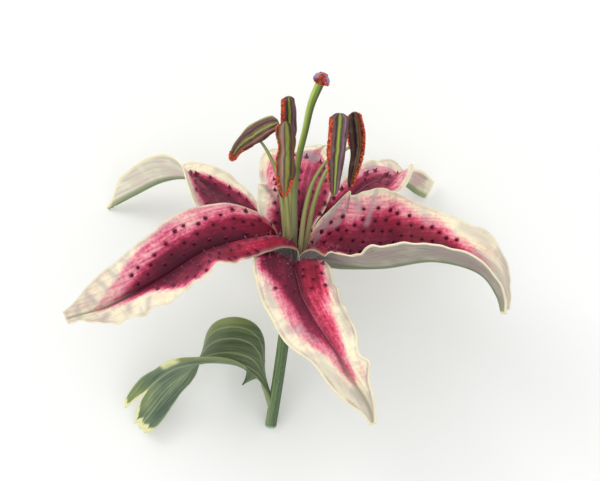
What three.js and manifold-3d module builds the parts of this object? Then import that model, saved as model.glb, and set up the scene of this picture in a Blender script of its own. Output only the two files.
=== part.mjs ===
// Cut stargazer lily lying on a flat surface: one open bloom on a short stem with one leaf.
// Millimetres, +Z up. The surface is z = 0 and the origin is under the middle of the flower.
import * as THREE from "three";
import { mergeVertices } from "three/addons/utils/BufferGeometryUtils.js";
import Module from "manifold-3d";

const wasm = await Module();
wasm.setup();

// Where the bloom's base is, and how its axis points away from upright
const BASE_X = 1.9;
const BASE_Y = -14;
const BASE_HEIGHT = 36.9;
const TILT = 53;
const LEAN = 8;

// Stem, in the bloom's axes, and the receptacle that it widens into: height and radius of each ring
const STEM_RADIUS = 2.3;
const STEM_PATH = [[-0.9, -1.2, -59.83], [-0.3, 0, -38], [0, 0, -9]];
const STEM_RINGS = 7;
const STEM_SIDES = 12;
const RECEPTACLE = [[-5, 3], [-2.6, 4.9], [-1.2, 7.1], [-0.3, 7.7]];

// Gap between a piece and the one that carries it
const SEAT_GAP = 0.3;

// Tepals are thickest along the midrib
const MIDRIB_THICKNESS = 1.3;
const RIM_THICKNESS = 0.7;
const TEPAL_ROWS = 22;
const TEPAL_COLUMNS = [-1, -0.84, -0.62, -0.38, -0.14, 0, 0.14, 0.38, 0.62, 0.84, 1];
const RIB_GROOVE = 0.8;
const RIB_GROOVE_WIDTH = 1.2;

// Fleshy points on the inner face of each tepal, from PAPILLA_START along it and in its middle
const PAPILLA_RADIUS = 0.85;
const PAPILLA_HEIGHT = 1.5;
const PAPILLA_ROOT = 0.6;
const PAPILLA_SIDES = 5;
const PAPILLA_SPACING = 4.2;
const PAPILLA_START = 0.2;
const PAPILLA_SPREAD = 0.66;
const PAPILLA_TRIES = 900;

// Leaf
const LEAF_ROWS = 30;
const LEAF_COLUMNS = [-1, -0.8, -0.6, -0.44, -0.3, 0, 0.22, 0.45, 0.62, 0.8, 1];
const LEAF_THICKNESS = 1.0;
const LEAF_RIM = 0.7;
const LEAF_GROOVE = 0.3;
const PETIOLE_THICKNESS = 2.6;

// Stamens and pistil
const FILAMENT_RADII = [0.8, 1.05, 1.05, 0.95, 0.5];
const ANTHER_DEPTH = 0.82;
const ANTHER_SEAM = 0.22;
const STYLE_RADII = [1.4, 2.0, 1.8, 1.5, 1.5, 1.5, 1.6, 1.9];
const STIGMA_RADIUS = 2.9;
const STIGMA_HEIGHT = 4.2;
const STIGMA_LOBES = 0.2;

// Colours of the living plant
const PETAL_RED = 0xb03a62;
const SEPAL_PINK = 0xc8607e;
const LEAF_GREEN = 0x4d6244;
const FILAMENT_GREEN = 0x9aa56a;
const ANTHER_BROWN = 0x6b4a45;
const STIGMA_PURPLE = 0x7d3b4c;

// A tepal is described in the upright plane through the bloom's axis at its azimuth.
// spine: [out from the axis, sideways, up]; width: half width; fold and curl: degrees that the
// blade leans up beside the midrib and at its rim; plus is the side of growing azimuth.
const TEPALS = {
  petal_left_front: {
    azimuth: 207,
    spine: [[4.6, 0, -1], [7.5, 0, 14], [13, 0, 25], [22, 0, 28], [38, 0, 26], [58, 0, 15], [80, 0, 5],
      [94.5, 0, 1.6]],
    width: [3.6, 6.5, 14, 21.5, 24, 22.5, 18, 13, 4],
    roll: [0, 0, -5, -8, -5, 0],
    minus: {
      scale: [1, 0.86, 0.88, 0.86, 0.82, 0.78, 0.78, 0.83, 0.85, 0.9, 0.9],
      fold: [5, 50, 55, 55, 50, 40],
      curl: [50, 30, 20, 15, 10, 20],
      ruffle: [0.5, 3.5, 0.4],
    },
    plus: {
      scale: [1, 0.9, 1, 1.12, 0.82, 0.98, 0.85, 1.08, 0.95, 1.05, 0.7],
      fold: [5, 45, 50, 55, 52, 48, 40, 30, 22, 15, 10],
      curl: [50, 20, 8, 0, 0, 0],
      ruffle: [1.2, 4.5, 0.1],
    },
    papillae: { count: 34, reach: 0.72, seed: 3 },
  },
  petal_right_front: {
    azimuth: -22,
    spine: [[4.6, 0, -1], [7.5, 0, 13], [12, 0, 20], [21, 0, 22.6], [38, 0, 28.7], [60, 0, 39.3],
      [79, 0, 40], [87, 0, 33], [90, 0, 26.5]],
    width: [3.6, 6.5, 14, 21.5, 24, 23.5, 19, 12, 3],
    roll: [0, 0],
    minus: {
      scale: [1, 0.88, 0.8, 0.76, 0.56, 0.84, 0.84, 0.95, 1, 1, 1],
      fold: [5, 40, 42, 46, 53, 55],
      curl: [50, 40, 40, 38, 40, 60],
      ruffle: [0.5, 3.5, 0.4],
    },
    plus: {
      scale: [1, 1, 1, 1.25, 1.7, 2.1, 1.66, 1.5, 1.43, 1.34, 1.24, 1.1, 0.97, 0.9, 0.88, 0.9, 0.94,
        0.95, 0.97, 1.1, 1.3],
      fold: [5, 60, 62, 62, 50, 30],
      curl: [50, 45, 50, 40, 20, 10],
      ruffle: [1.5, 4, 0.1],
    },
    papillae: { count: 34, reach: 0.7, seed: 8 },
  },
  petal_back: {
    azimuth: 88,
    spine: [[4.6, 0, -1], [7, 0, 14], [12, 0, 25], [24, 0, 32], [38, 0, 37.5], [48, -1, 40],
      [56, -3.5, 41.5], [61, -5.5, 37], [61.5, -6, 30]],
    width: [3.6, 6, 11.5, 18, 20, 18, 8, 5, 1],
    roll: [0, 0],
    minus: {
      scale: [1, 0.8, 0.5, 0.44, 0.5, 0.52, 0.55, 0.95, 0.7, 0.8, 1],
      fold: [5, 48, 44, 22, 5, 40],
      curl: [50, 30, 5, -20, 0, 30],
      ruffle: [1, 3.5, 0.4],
    },
    plus: {
      scale: [1, 0.85, 0.74, 0.73, 0.82, 1, 1.12, 1.1, 1.02, 0.98, 0.98, 1, 1.1, 1.32, 1.72, 1.95, 1.3,
        0.45, 0.35, 0.5, 0.8],
      fold: [5, 34, 44, 30, 22, 12, 0, 5, -2, 0, 20],
      curl: [50, 35, 20, 10, 5, -10, -28, -12, -25, 0, 20],
      ruffle: [0.6, 4.5, 0.1],
    },
    papillae: { count: 24, reach: 0.6, seed: 5 },
  },
  sepal_front: {
    azimuth: 270,
    spine: [[6.7, 0, -1], [8.7, 0, 13], [12, 0, 22], [17.5, 0.5, 25.5], [26, 2.7, 24.9], [35, 5.9, 22],
      [42, 10.1, 19.5], [47, 14.4, 16.3], [54, 22.2, 10.4], [58, 27.5, 4.2], [63, 37.3, -6.2],
      [65, 39.9, -12.3]],
    width: [3.1, 5.2, 12, 15.5, 17, 16, 13, 8, 1.8],
    roll: [0, 0],
    minus: {
      scale: [1, 0.9, 1, 1.24, 1.07, 0.95, 0.91, 0.74, 0.78, 0.92, 1],
      fold: [5, 30, 25, 20, 25, 35],
      curl: [30, 0, -20, -20, 0, 20],
      ruffle: [0.8, 3.5, 0.4],
    },
    plus: {
      scale: [1, 0.97, 0.95, 0.95, 0.95, 0.95, 1, 0.96, 0.9, 0.86, 0.82, 0.8, 0.8, 0.77, 0.68, 0.6, 0.9,
        0.69, 0.66, 0.65, 0.7],
      fold: [5, 25, 25, 20, 25, 35],
      curl: [30, 0, -20, -20, 0, 20],
      ruffle: [0.9, 4.5, 0.1],
    },
    papillae: { count: 20, reach: 0.5, seed: 11 },
  },
  sepal_left_back: {
    azimuth: 150,
    spine: [[6.7, 0, -1], [8.8, 0, 13], [13.2, 0, 24], [22, 0, 28.5], [38, 0, 31.8], [53, 0, 34],
      [65, 0, 28.6], [80, -0.5, 15.5], [93, -1.5, 3.12]],
    width: [3.1, 5, 9.7, 13.3, 14, 13.5, 11.5, 7.5, 0.8],
    roll: [0, 0],
    minus: {
      scale: [1, 0.64, 0.45, 0.52, 0.84, 0.76, 0.65, 0.65, 0.8, 0.9, 1],
      fold: [5, 4, 20, 30, 40, 50],
      curl: [30, -20, 0, 10, 20, 30],
      ruffle: [0.6, 3.5, 0.4],
    },
    plus: {
      scale: [1, 1, 1, 1.15, 1.35, 1.3, 1.05, 0.94, 0.97, 1.12, 0.9],
      fold: [5, 20, 15, 50, 80, 80],
      curl: [30, -10, -10, 60, 80, 90],
      ruffle: [0.5, 3.5, 0.1],
    },
    papillae: { count: 16, reach: 0.56, seed: 21 },
  },
  sepal_right_back: {
    azimuth: 51,
    spine: [[6.7, 0, -1], [10.2, 0, 12], [16.5, 0, 22.5], [22.5, 0, 30], [30, 0, 36.3], [39.5, 0, 39.8],
      [53, 0, 38.5], [62, 0, 33.5], [71, 0, 26.4], [78, 0, 21.8]],
    width: [3.1, 4.8, 9.5, 13.3, 14, 14, 12, 11, 7],
    roll: [0, 0],
    minus: {
      scale: [1, 1, 1, 1, 1, 1, 1, 1, 1, 1, 1, 1.02, 1.05, 1.08, 1, 0.58, 0.54, 0.7, 0.86, 0.98, 1.05],
      fold: [5, 15, 20, 15, 10, 12, 15, 45, 85, 90, 85],
      curl: [30, 10, -10, -10, -10, 0, 10, 55, 95, 100, 95],
      ruffle: [0.6, 3.5, 0.4],
    },
    plus: {
      scale: [1, 0.9, 0.8, 0.68, 0.6, 0.62, 0.64, 0.8, 1.05, 0.6, 0.6],
      fold: [5, 12, 8, 25, 40, 50],
      curl: [30, 10, 10, 10, 20, 30],
      ruffle: [0.8, 3.5, 0.1],
    },
    papillae: { count: 12, reach: 0.6, seed: 34 },
  },
};

// The leaf is described in upright axes from the surface under the bloom's base: right, back, up.
// It arches over, turns half round about its spine and hangs with its underside showing.
const LEAF = {
  spine: [[-7.4, -40.6, 6.8], [-9.8, -32.8, 12.5], [-12, -28, 18], [-15.2, -24.8, 22], [-21.5, -22.8, 25],
    [-30.3, -23, 26], [-37.9, -25, 24.5], [-44.8, -28.6, 21], [-53.4, -35.6, 12], [-63.8, -47.8, 4.6]],
  width: [1.3, 2, 6.5, 15, 17, 14, 10.5, 8.2, 8, 8.4, 8.2],
  roll: [-10, -10, -10, 18, 78, 125, 150, 165],
  minus: {
    scale: [1, 0.88, 0.7, 0.46, 0.42, 0.42, 0.62, 0.9, 1.17, 1.08, 1],
    fold: [0, 0],
    curl: [0, -60, -150, -70, 0, 0],
    ruffle: [0.6, 2.5, 0],
  },
  plus: {
    scale: [1, 1, 1, 1.06, 1.02, 1.04, 0.9, 0.86, 0.98, 1, 0.9],
    fold: [0, 5, 5, 0, 0, 0],
    curl: [0, 10, 10, 0, 0, 0],
    ruffle: [0.5, 2, 0],
  },
};
// How far along the blade its torn end reaches in each column, from the minus rim to the plus rim
const LEAF_TORN_END = [0.89, 0.9, 0.87, 0.84, 0.93, 0.99, 0.97, 1, 0.98, 0.99, 0.97];

// Filaments run from the receptacle to the middle of their anther, in the bloom's own axes.
// An anther has a low end, a middle, a high end and a half width.
const STAMENS = [
  {
    filament: [[-2.25, 1.3, 0], [-4.5, 2.5, 25], [-9, 6, 45], [-12, 8, 53.5], [-18.4, 9.5, 62.8]],
    anther: { low: [-30.5, 14, 51.2], middle: [-20, 9, 66], high: [-13.5, 9, 75.3], half: 2.6 },
  },
  {
    filament: [[-0.2, 2.6, 0], [-1.6, 5.0, 25], [-5.3, 12, 42], [-7.3, 17, 54], [-8.6, 19.8, 62.3]],
    anther: { low: [-8.8, 21.5, 55.5], middle: [-9.6, 22, 66.5], high: [-11.3, 20, 79.4], half: 2.3 },
  },
  {
    filament: [[-0.7, -2.5, 0], [-2.4, -4.6, 25], [-5, -9, 42], [-7, -14, 60], [-8.5, -17, 70.4]],
    anther: { low: [-6.8, -22, 57.5], middle: [-8.8, -19.5, 72.3], high: [-10.7, -14, 85], half: 3.4 },
  },
  {
    filament: [[1.6, -2.05, 0], [1.9, -4.3, 25], [2.2, -8, 45], [4.3, -11.5, 62], [9.6, -13.8, 73.1]],
    anther: { low: [12.6, -20, 60.3], middle: [11.7, -16, 74.7], high: [10.3, -10, 90.7], half: 3.2 },
  },
  {
    filament: [[2.4, 1, 0], [3.7, 2.4, 25], [5.2, 4, 45], [8.5, 7, 57], [15.5, 10.4, 65.8]],
    anther: { low: [18.2, 8, 49.4], middle: [18.8, 11, 66.5], high: [14.6, 10, 81.7], half: 2.8 },
  },
  {
    filament: [[-2.4, -1, 0], [-4.4, -1.5, 25], [-6, -1.8, 45], [-7.6, -0.4, 57]],
    anther: { low: [-7.5, -3, 47], middle: [-8.4, -4.2, 61], high: [-8.4, -2, 74], half: 2.6 },
  },
];
const STYLE = [[0, 0, 0], [0, 0, 12], [-0.9, 0, 30], [-2.2, 0, 48.2], [-2.2, 0, 64.3], [-1.2, 0, 76],
  [-0.4, 0, 88], [1.6, 0, 98.5]];

const radians = THREE.MathUtils.degToRad;
const vector = (list) => new THREE.Vector3(...list);

// Smooth curve through values that are evenly spaced from t = 0 to t = 1
function along(values, t) {
  const last = values.length - 1;
  const x = THREE.MathUtils.clamp(t, 0, 1) * last;
  const i = Math.min(Math.floor(x), last - 1);
  const w = x - i;
  const a = values[Math.max(i - 1, 0)];
  const b = values[i];
  const c = values[i + 1];
  const d = values[Math.min(i + 2, last)];
  return b + 0.5 * w * (c - a + w * (2 * a - 5 * b + 4 * c - d + w * (3 * (b - c) + d - a)));
}

function curveOf(points) {
  const curve = new THREE.CatmullRomCurve3(points.map(vector), false, "centripetal");
  curve.arcLengthDivisions = 800;
  return curve;
}

// Small waves of a blade's rim, growing from nothing at the midrib
function ruffleAt([amount, waves, phase], t, a) {
  const envelope = along([0, 0.6, 1, 1, 0.5], t);
  const wave = Math.sin(2 * Math.PI * (waves * t + phase));
  const ripple = Math.sin(2 * Math.PI * (waves * 1.9 * t + phase * 2.3));
  return amount * envelope * a ** 2.2 * (wave + 0.45 * ripple);
}

// Point of a blade's middle surface: t runs along the spine, s across it from -1 to 1
function bladePoint(blade, t, s) {
  const step = 1e-3;
  const centre = blade.curve.getPointAt(t);
  const tangent = blade.curve.getPointAt(Math.min(t + step, 1));
  tangent.sub(blade.curve.getPointAt(Math.max(t - step, 0))).normalize();
  const side = new THREE.Vector3(0, 1, 0);
  side.addScaledVector(tangent, -side.dot(tangent)).normalize();
  side.applyAxisAngle(tangent, radians(along(blade.roll, t)));
  const up = new THREE.Vector3().crossVectors(tangent, side);

  const half = s < 0 ? blade.minus : blade.plus;
  const a = Math.abs(s);
  const fold = radians(along(half.fold, t));
  const bend = radians(along(half.curl, t)) - fold;
  const turn = Math.abs(bend) < 1e-4 ? 1e-4 : bend;
  const angle = fold + turn * a;
  const width = along(blade.width, t) * along(half.scale, t);
  const ruffle = ruffleAt(half.ruffle, t, a);
  const out = (width * (Math.sin(angle) - Math.sin(fold))) / turn - ruffle * Math.sin(angle);
  const rise = (-width * (Math.cos(angle) - Math.cos(fold))) / turn + ruffle * Math.cos(angle);
  const fade = THREE.MathUtils.clamp(1.15 - t, 0, 1);
  const groove = blade.groove * fade * Math.exp(-(((a * width) / RIB_GROOVE_WIDTH) ** 2));
  return centre.addScaledVector(side, Math.sign(s) * out).addScaledVector(up, rise - groove);
}

// Direction out of the blade's inner, upper face
function bladeNormal(blade, t, s) {
  const step = 2e-3;
  const t0 = Math.max(t - step, 0);
  const t1 = Math.min(t + step, 1);
  const s0 = Math.max(s - step, -1);
  const s1 = Math.min(s + step, 1);
  const lengthwise = bladePoint(blade, t1, s).sub(bladePoint(blade, t0, s));
  const crosswise = bladePoint(blade, t, s1).sub(bladePoint(blade, t, s0));
  return lengthwise.cross(crosswise).normalize();
}

function solidFrom(positions, triangles) {
  const vertProperties = new Float32Array(positions.flatMap((p) => [p.x, p.y, p.z]));
  const triVerts = new Uint32Array(triangles.flat());
  return new wasm.Manifold(new wasm.Mesh({ numProp: 3, vertProperties, triVerts }));
}

// Solid of a closed three.js geometry, whose corners are first joined
function solidOf(geometry) {
  geometry.deleteAttribute("normal");
  geometry.deleteAttribute("uv");
  const merged = mergeVertices(geometry, 1e-4);
  const vertProperties = merged.attributes.position.array;
  const triVerts = new Uint32Array(merged.index.array);
  return new wasm.Manifold(new wasm.Mesh({ numProp: 3, vertProperties, triVerts }));
}

// Closed thin shell: an inner and an outer face, split into triangles alike, and a rim
function bladeSolid(blade, rows, columns) {
  const inner = [];
  const outer = [];
  for (let i = 0; i <= rows; i++) {
    columns.forEach((s, j) => {
      const t = (i / rows) * (blade.end ? blade.end[j] : 1);
      const point = bladePoint(blade, t, s);
      const half = blade.thickness(t, Math.abs(s)) / 2;
      const offset = bladeNormal(blade, t, s).multiplyScalar(half);
      inner.push(point.clone().add(offset));
      outer.push(point.clone().sub(offset));
    });
  }
  const wide = columns.length;
  const shift = inner.length;
  const triangles = [];
  for (let i = 0; i < rows; i++) {
    for (let j = 0; j < wide - 1; j++) {
      const a = i * wide + j;
      const b = a + wide;
      triangles.push([a, b, b + 1], [a, b + 1, a + 1]);
      triangles.push([a + shift, b + 1 + shift, b + shift], [a + shift, a + 1 + shift, b + 1 + shift]);
    }
  }
  const wall = (p, q) => triangles.push([p, q, q + shift], [p, q + shift, p + shift]);
  for (let i = 0; i < rows; i++) {
    wall((i + 1) * wide, i * wide);
    wall(i * wide + wide - 1, (i + 1) * wide + wide - 1);
  }
  for (let j = 0; j < wide - 1; j++) {
    wall(j, j + 1);
    wall(rows * wide + j + 1, rows * wide + j);
  }
  return solidFrom([...inner, ...outer], triangles);
}

// Closed body through rings of the same number of points, with a point in the middle of each end
function loft(rings) {
  const sides = rings[0].length;
  const middle = (ring) => ring.reduce((sum, p) => sum.add(p), new THREE.Vector3()).divideScalar(sides);
  const positions = [...rings.flat(), middle(rings[0]), middle(rings.at(-1))];
  const start = positions.length - 2;
  const end = positions.length - 1;
  const top = (rings.length - 1) * sides;
  const triangles = [];
  for (let k = 0; k < sides; k++) {
    const next = (k + 1) % sides;
    for (let i = 0; i < rings.length - 1; i++) {
      const a = i * sides + k;
      const b = i * sides + next;
      triangles.push([a, b, b + sides], [a, b + sides, a + sides]);
    }
    triangles.push([start, next, k], [end, top + k, top + next]);
  }
  return solidFrom(positions, triangles);
}

// Rings across a curve; section(angle, t) gives a point's distances across and up
function ringsAlong(points, count, sides, section, reference = new THREE.Vector3(0, 1, 0)) {
  const curve = curveOf(points);
  return Array.from({ length: count + 1 }, (unused, i) => {
    const t = i / count;
    const centre = curve.getPointAt(t);
    const tangent = curve.getTangentAt(t);
    const across = reference.clone().cross(tangent).normalize();
    const up = tangent.clone().cross(across);
    return Array.from({ length: sides }, (none, k) => {
      const [x, y] = section((2 * Math.PI * k) / sides, t);
      return centre.clone().addScaledVector(across, x).addScaledVector(up, y);
    });
  });
}

function tubeSolid(points, radii, count, sides) {
  const section = (angle, t) => {
    const radius = along(radii, t);
    return [radius * Math.cos(angle), radius * Math.sin(angle)];
  };
  return loft(ringsAlong(points, count, sides, section));
}

// Repeatable random numbers from 0 to 1
function randomFrom(seed) {
  let state = seed * 7919 + 17;
  return () => {
    state = (state * 16807) % 2147483647;
    return state / 2147483647;
  };
}

function coneSolid(point, direction) {
  const cone = new THREE.ConeGeometry(PAPILLA_RADIUS, PAPILLA_HEIGHT + PAPILLA_ROOT, PAPILLA_SIDES);
  cone.translate(0, (PAPILLA_HEIGHT - PAPILLA_ROOT) / 2, 0);
  cone.applyQuaternion(new THREE.Quaternion().setFromUnitVectors(new THREE.Vector3(0, 1, 0), direction));
  cone.translate(point.x, point.y, point.z);
  return solidOf(cone);
}

// Papillae stand at random places of the inner face, no two closer than their spacing
function addPapillae(solid, blade, { count, reach, seed }) {
  const random = randomFrom(seed);
  const placed = [];
  let joined = solid;
  for (let attempt = 0; attempt < PAPILLA_TRIES && placed.length < count; attempt++) {
    const t = THREE.MathUtils.lerp(PAPILLA_START, reach, random());
    const s = (random() * 2 - 1) * PAPILLA_SPREAD;
    const point = bladePoint(blade, t, s);
    if (placed.some((p) => p.distanceTo(point) < PAPILLA_SPACING)) continue;
    placed.push(point);
    const normal = bladeNormal(blade, t, s);
    const surface = point.clone().addScaledVector(normal, blade.thickness(t, Math.abs(s)) / 2);
    joined = joined.add(coneSolid(surface, normal));
  }
  return joined;
}

function meshOf(name, solid, colour, roughness = 0.5) {
  const { vertProperties, triVerts } = solid.getMesh();
  const geometry = new THREE.BufferGeometry();
  geometry.setAttribute("position", new THREE.BufferAttribute(vertProperties, 3));
  geometry.setIndex(new THREE.BufferAttribute(triVerts, 1));
  geometry.computeVertexNormals();
  const material = new THREE.MeshStandardMaterial({ color: colour, roughness, metalness: 0 });
  const mesh = new THREE.Mesh(geometry, material);
  mesh.name = name;
  return mesh;
}

// Everything below z = 0 in the bloom's axes is cut off, so each base is flat over its seat
function flatBase(solid) {
  return solid.subtract(solidOf(new THREE.BoxGeometry(60, 60, 20).translate(0, 0, -10)));
}

const tepalThickness = (t, a) =>
  THREE.MathUtils.lerp(MIDRIB_THICKNESS, RIM_THICKNESS, Math.min(a * 1.4, 1));

const leafThickness = (t, a) => {
  const flat = THREE.MathUtils.lerp(LEAF_THICKNESS, LEAF_RIM, Math.min(a * 1.2, 1));
  return THREE.MathUtils.lerp(PETIOLE_THICKNESS, flat, THREE.MathUtils.smoothstep(t, 0.02, 0.24));
};

const bloom = new THREE.Group();
bloom.position.set(BASE_X, BASE_Y, BASE_HEIGHT);
bloom.rotation.order = "ZXY";
bloom.rotation.set(radians(-TILT), 0, radians(-LEAN));
bloom.updateMatrixWorld(true);

// Tepals
for (const [name, spec] of Object.entries(TEPALS)) {
  const blade = { ...spec, curve: curveOf(spec.spine), groove: RIB_GROOVE, thickness: tepalThickness };
  const plain = bladeSolid(blade, TEPAL_ROWS, TEPAL_COLUMNS);
  const solid = flatBase(addPapillae(plain, blade, spec.papillae));
  const mesh = meshOf(name, solid, name.startsWith("petal") ? PETAL_RED : SEPAL_PINK);
  mesh.rotation.z = radians(spec.azimuth);
  bloom.add(mesh);
}

// Stamens: an anther is two long lobes with a groove between them, swung on its filament
function antherSolid({ low, middle, high, half }) {
  const section = (angle, t) => {
    const swell = half * Math.sin(Math.PI * (0.04 + 0.92 * t)) ** 0.5;
    const lobes = 1 - ANTHER_SEAM * Math.sin(angle) ** 8;
    return [swell * Math.cos(angle) * lobes, ANTHER_DEPTH * swell * Math.sin(angle) * lobes];
  };
  return loft(ringsAlong([low, middle, high], 9, 12, section));
}

STAMENS.forEach(({ filament, anther }, i) => {
  const head = antherSolid(anther);
  const tube = tubeSolid(filament, FILAMENT_RADII, 10, 6);
  bloom.add(meshOf("filament_" + (i + 1), flatBase(tube), FILAMENT_GREEN));
  bloom.add(meshOf("anther_" + (i + 1), head, ANTHER_BROWN, 0.8));
});

// Pistil and its three-lobed stigma
bloom.add(meshOf("pistil", flatBase(tubeSolid(STYLE, STYLE_RADII, 16, 10)), FILAMENT_GREEN));

const styleTop = vector(STYLE.at(-1));
const styleEnd = styleTop.clone().sub(vector(STYLE.at(-2))).normalize();
const stigmaSection = (angle, t) => {
  const lobes = 1 + STIGMA_LOBES * Math.cos(3 * angle);
  const radius = STIGMA_RADIUS * along([0.62, 1, 1.02, 0.55], t) * lobes;
  return [radius * Math.cos(angle), radius * Math.sin(angle)];
};
const stigmaFoot = styleTop.clone().addScaledVector(styleEnd, SEAT_GAP);
const stigmaHead = stigmaFoot.clone().addScaledVector(styleEnd, STIGMA_HEIGHT);
const stigmaPath = [stigmaFoot.toArray(), stigmaHead.toArray()];
bloom.add(meshOf("stigma", loft(ringsAlong(stigmaPath, 5, 15, stigmaSection)), STIGMA_PURPLE, 0.4));

// Stem with the receptacle that carries the bloom, thickened by a clearance where it cuts a neighbour
function stemSolid(clearance) {
  const ring = (centre, radius) =>
    Array.from({ length: STEM_SIDES }, (unused, k) => {
      const angle = (Math.PI * 2 * k) / STEM_SIDES;
      const offset = vector([Math.cos(angle), Math.sin(angle), 0]);
      return centre.clone().addScaledVector(offset, radius + clearance);
    });
  const shaft = curveOf(STEM_PATH);
  const lower = Array.from({ length: STEM_RINGS + 1 }, (unused, i) =>
    ring(shaft.getPointAt(i / STEM_RINGS), STEM_RADIUS),
  );
  const upper = RECEPTACLE.map(([height, radius]) => ring(vector([0, 0, height]), radius));
  return loft([...lower, ...upper]);
}
bloom.add(meshOf("stem", stemSolid(0), LEAF_GREEN, 0.6));

// Leaf, cut clear of the stem that carries it
const leafBlade = {
  ...LEAF,
  curve: curveOf(LEAF.spine.map(([x, y, z]) => [x + BASE_X, y + BASE_Y, z])),
  groove: LEAF_GROOVE,
  thickness: leafThickness,
  end: LEAF_TORN_END,
};
const stemInPlace = stemSolid(SEAT_GAP).transform(bloom.matrixWorld.toArray());
const leafSolid = bladeSolid(leafBlade, LEAF_ROWS, LEAF_COLUMNS).subtract(stemInPlace);
const leaf = meshOf("leaf", leafSolid, LEAF_GREEN, 0.55);

const group = new THREE.Group();
group.add(bloom, leaf);
export default group;
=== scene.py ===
import math
import random

import bpy
import numpy as np
from mathutils import Matrix, Vector


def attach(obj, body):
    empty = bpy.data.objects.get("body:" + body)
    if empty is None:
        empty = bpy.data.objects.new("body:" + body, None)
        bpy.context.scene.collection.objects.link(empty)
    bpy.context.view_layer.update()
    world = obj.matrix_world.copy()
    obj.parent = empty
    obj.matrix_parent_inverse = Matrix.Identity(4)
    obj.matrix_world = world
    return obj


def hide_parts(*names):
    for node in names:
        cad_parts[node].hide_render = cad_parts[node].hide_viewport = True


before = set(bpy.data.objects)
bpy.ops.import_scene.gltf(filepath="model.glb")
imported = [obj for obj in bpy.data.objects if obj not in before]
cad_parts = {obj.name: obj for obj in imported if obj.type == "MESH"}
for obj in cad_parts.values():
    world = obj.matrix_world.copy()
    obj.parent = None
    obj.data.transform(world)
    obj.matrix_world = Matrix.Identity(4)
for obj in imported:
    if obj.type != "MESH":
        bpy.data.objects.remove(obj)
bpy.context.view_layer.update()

print("frame loaded:", len(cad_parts), "nodes")

mm = 0.001
# Where the bloom's base stands in the part's frame, and how far its axis leans from upright
bloom = {"base": (1.9, -14.0, 36.9), "tilt": 53.0, "lean": 8.0}


# Smooth value from a few that are spread evenly from t = 0 to t = 1
def along(values, t):
    v = np.asarray(values, float)
    last = len(v) - 1
    x = np.clip(t, 0, 1) * last
    i = np.minimum(np.floor(x).astype(int), last - 1)
    w = x - i
    a, b, c, d = v[np.maximum(i - 1, 0)], v[i], v[i + 1], v[np.minimum(i + 2, last)]
    return b + 0.5 * w * (c - a + w * (2 * a - 5 * b + 4 * c - d + w * (3 * (b - c) + d - a)))


def smooth(low, high, x):
    share = np.clip((x - low) / (high - low), 0, 1)
    return share * share * (3 - 2 * share)


def unit(vectors):
    return vectors / np.maximum(np.linalg.norm(vectors, axis=-1, keepdims=True), 1e-12)


# Point of a smooth line through the given points, at share u of its stretches
def throughPoints(points, u):
    p = np.asarray(points, float)
    x = np.clip(u, 0, 1) * (len(p) - 1)
    i = np.minimum(np.floor(x).astype(int), len(p) - 2)
    w = (x - i)[:, None]
    wide = np.vstack([2 * p[0] - p[1], p, 2 * p[-1] - p[-2]])
    a, b, c, d = wide[i], wide[i + 1], wide[i + 2], wide[i + 3]
    before, here, after = (
        np.maximum(((q - r) ** 2).sum(1), 1e-12)[:, None] ** 0.25 for q, r in ((a, b), (b, c), (c, d))
    )
    start = ((b - a) / before - (c - a) / (before + here) + (c - b) / here) * here
    end = ((c - b) / here - (d - b) / (here + after) + (d - c) / after) * here
    return b + start * w + (3 * (c - b) - 2 * start - end) * w**2 + (2 * (b - c) + start + end) * w**3


# Point at share t of the line's length, and its direction there
def onLine(points, t):
    u = np.linspace(0, 1, 801)
    line = throughPoints(points, u)
    run = np.concatenate([[0], np.cumsum(np.linalg.norm(np.diff(line, axis=0), axis=1))])

    def at(share):
        return throughPoints(points, np.interp(np.clip(share, 0, 1) * run[-1], run, u))

    return at(t), unit(at(t + 1e-3) - at(t - 1e-3)), run[-1]


def turned(degrees, axis):
    return np.array(Matrix.Rotation(math.radians(degrees), 3, axis))


bloomTurn = turned(-bloom["lean"], "Z") @ turned(-bloom["tilt"], "X")


# From the bloom's own axes to the part's, in millimetres
def inPart(points):
    return points @ bloomTurn.T + np.array(bloom["base"])


# Colours are sRGB hex values, turned linear here
def colour(code):
    channels = [int(code[i : i + 2], 16) / 255 for i in (1, 3, 5)]
    return [c / 12.92 if c <= 0.04045 else ((c + 0.055) / 1.055) ** 2.4 for c in channels] + [1.0]


def newMaterial(name):
    made = bpy.data.materials.new(name)
    made.use_nodes = True
    made.node_tree.nodes.clear()
    return made


# Adds one node and gives one of its outputs. An input, by number or name, is a value or a socket to
# link. Stops fill a colour ramp. A MapRange's inputs are the value, from low, high, and to low, high.
# Noise scales count per metre on Object coordinates, so 800 is 1.25 mm, and per mm on a UV map.
def add(material, kind, inputs=(), output=0, stops=(), **settings):
    made = material.node_tree.nodes.new("ShaderNode" + kind)
    for name, value in settings.items():
        setattr(made, name, value)
    for name, value in dict(inputs).items():
        if isinstance(value, bpy.types.NodeSocket):
            material.node_tree.links.new(value, made.inputs[name])
        else:
            made.inputs[name].default_value = value
    for unused in stops[2:]:
        made.color_ramp.elements.new(1)
    for number, (place, code) in enumerate(stops):
        made.color_ramp.elements[number].position = place
        made.color_ramp.elements[number].color = colour(code)
    return made.outputs[output] if made.outputs else None


def deselect():
    if bpy.context.object and bpy.context.object.mode != "OBJECT":
        bpy.ops.object.mode_set(mode="OBJECT")
    bpy.ops.object.select_all(action="DESELECT")


def only(piece):
    deselect()
    piece.select_set(True)
    bpy.context.view_layer.objects.active = piece


# One number for each vertex, which a material reads by its name
def numbers(name, piece, values):
    found = piece.data.attributes.get(name) or piece.data.attributes.new(name, "FLOAT", "POINT")
    found.data.foreach_set("value", np.asarray(values, np.float32))


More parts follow.
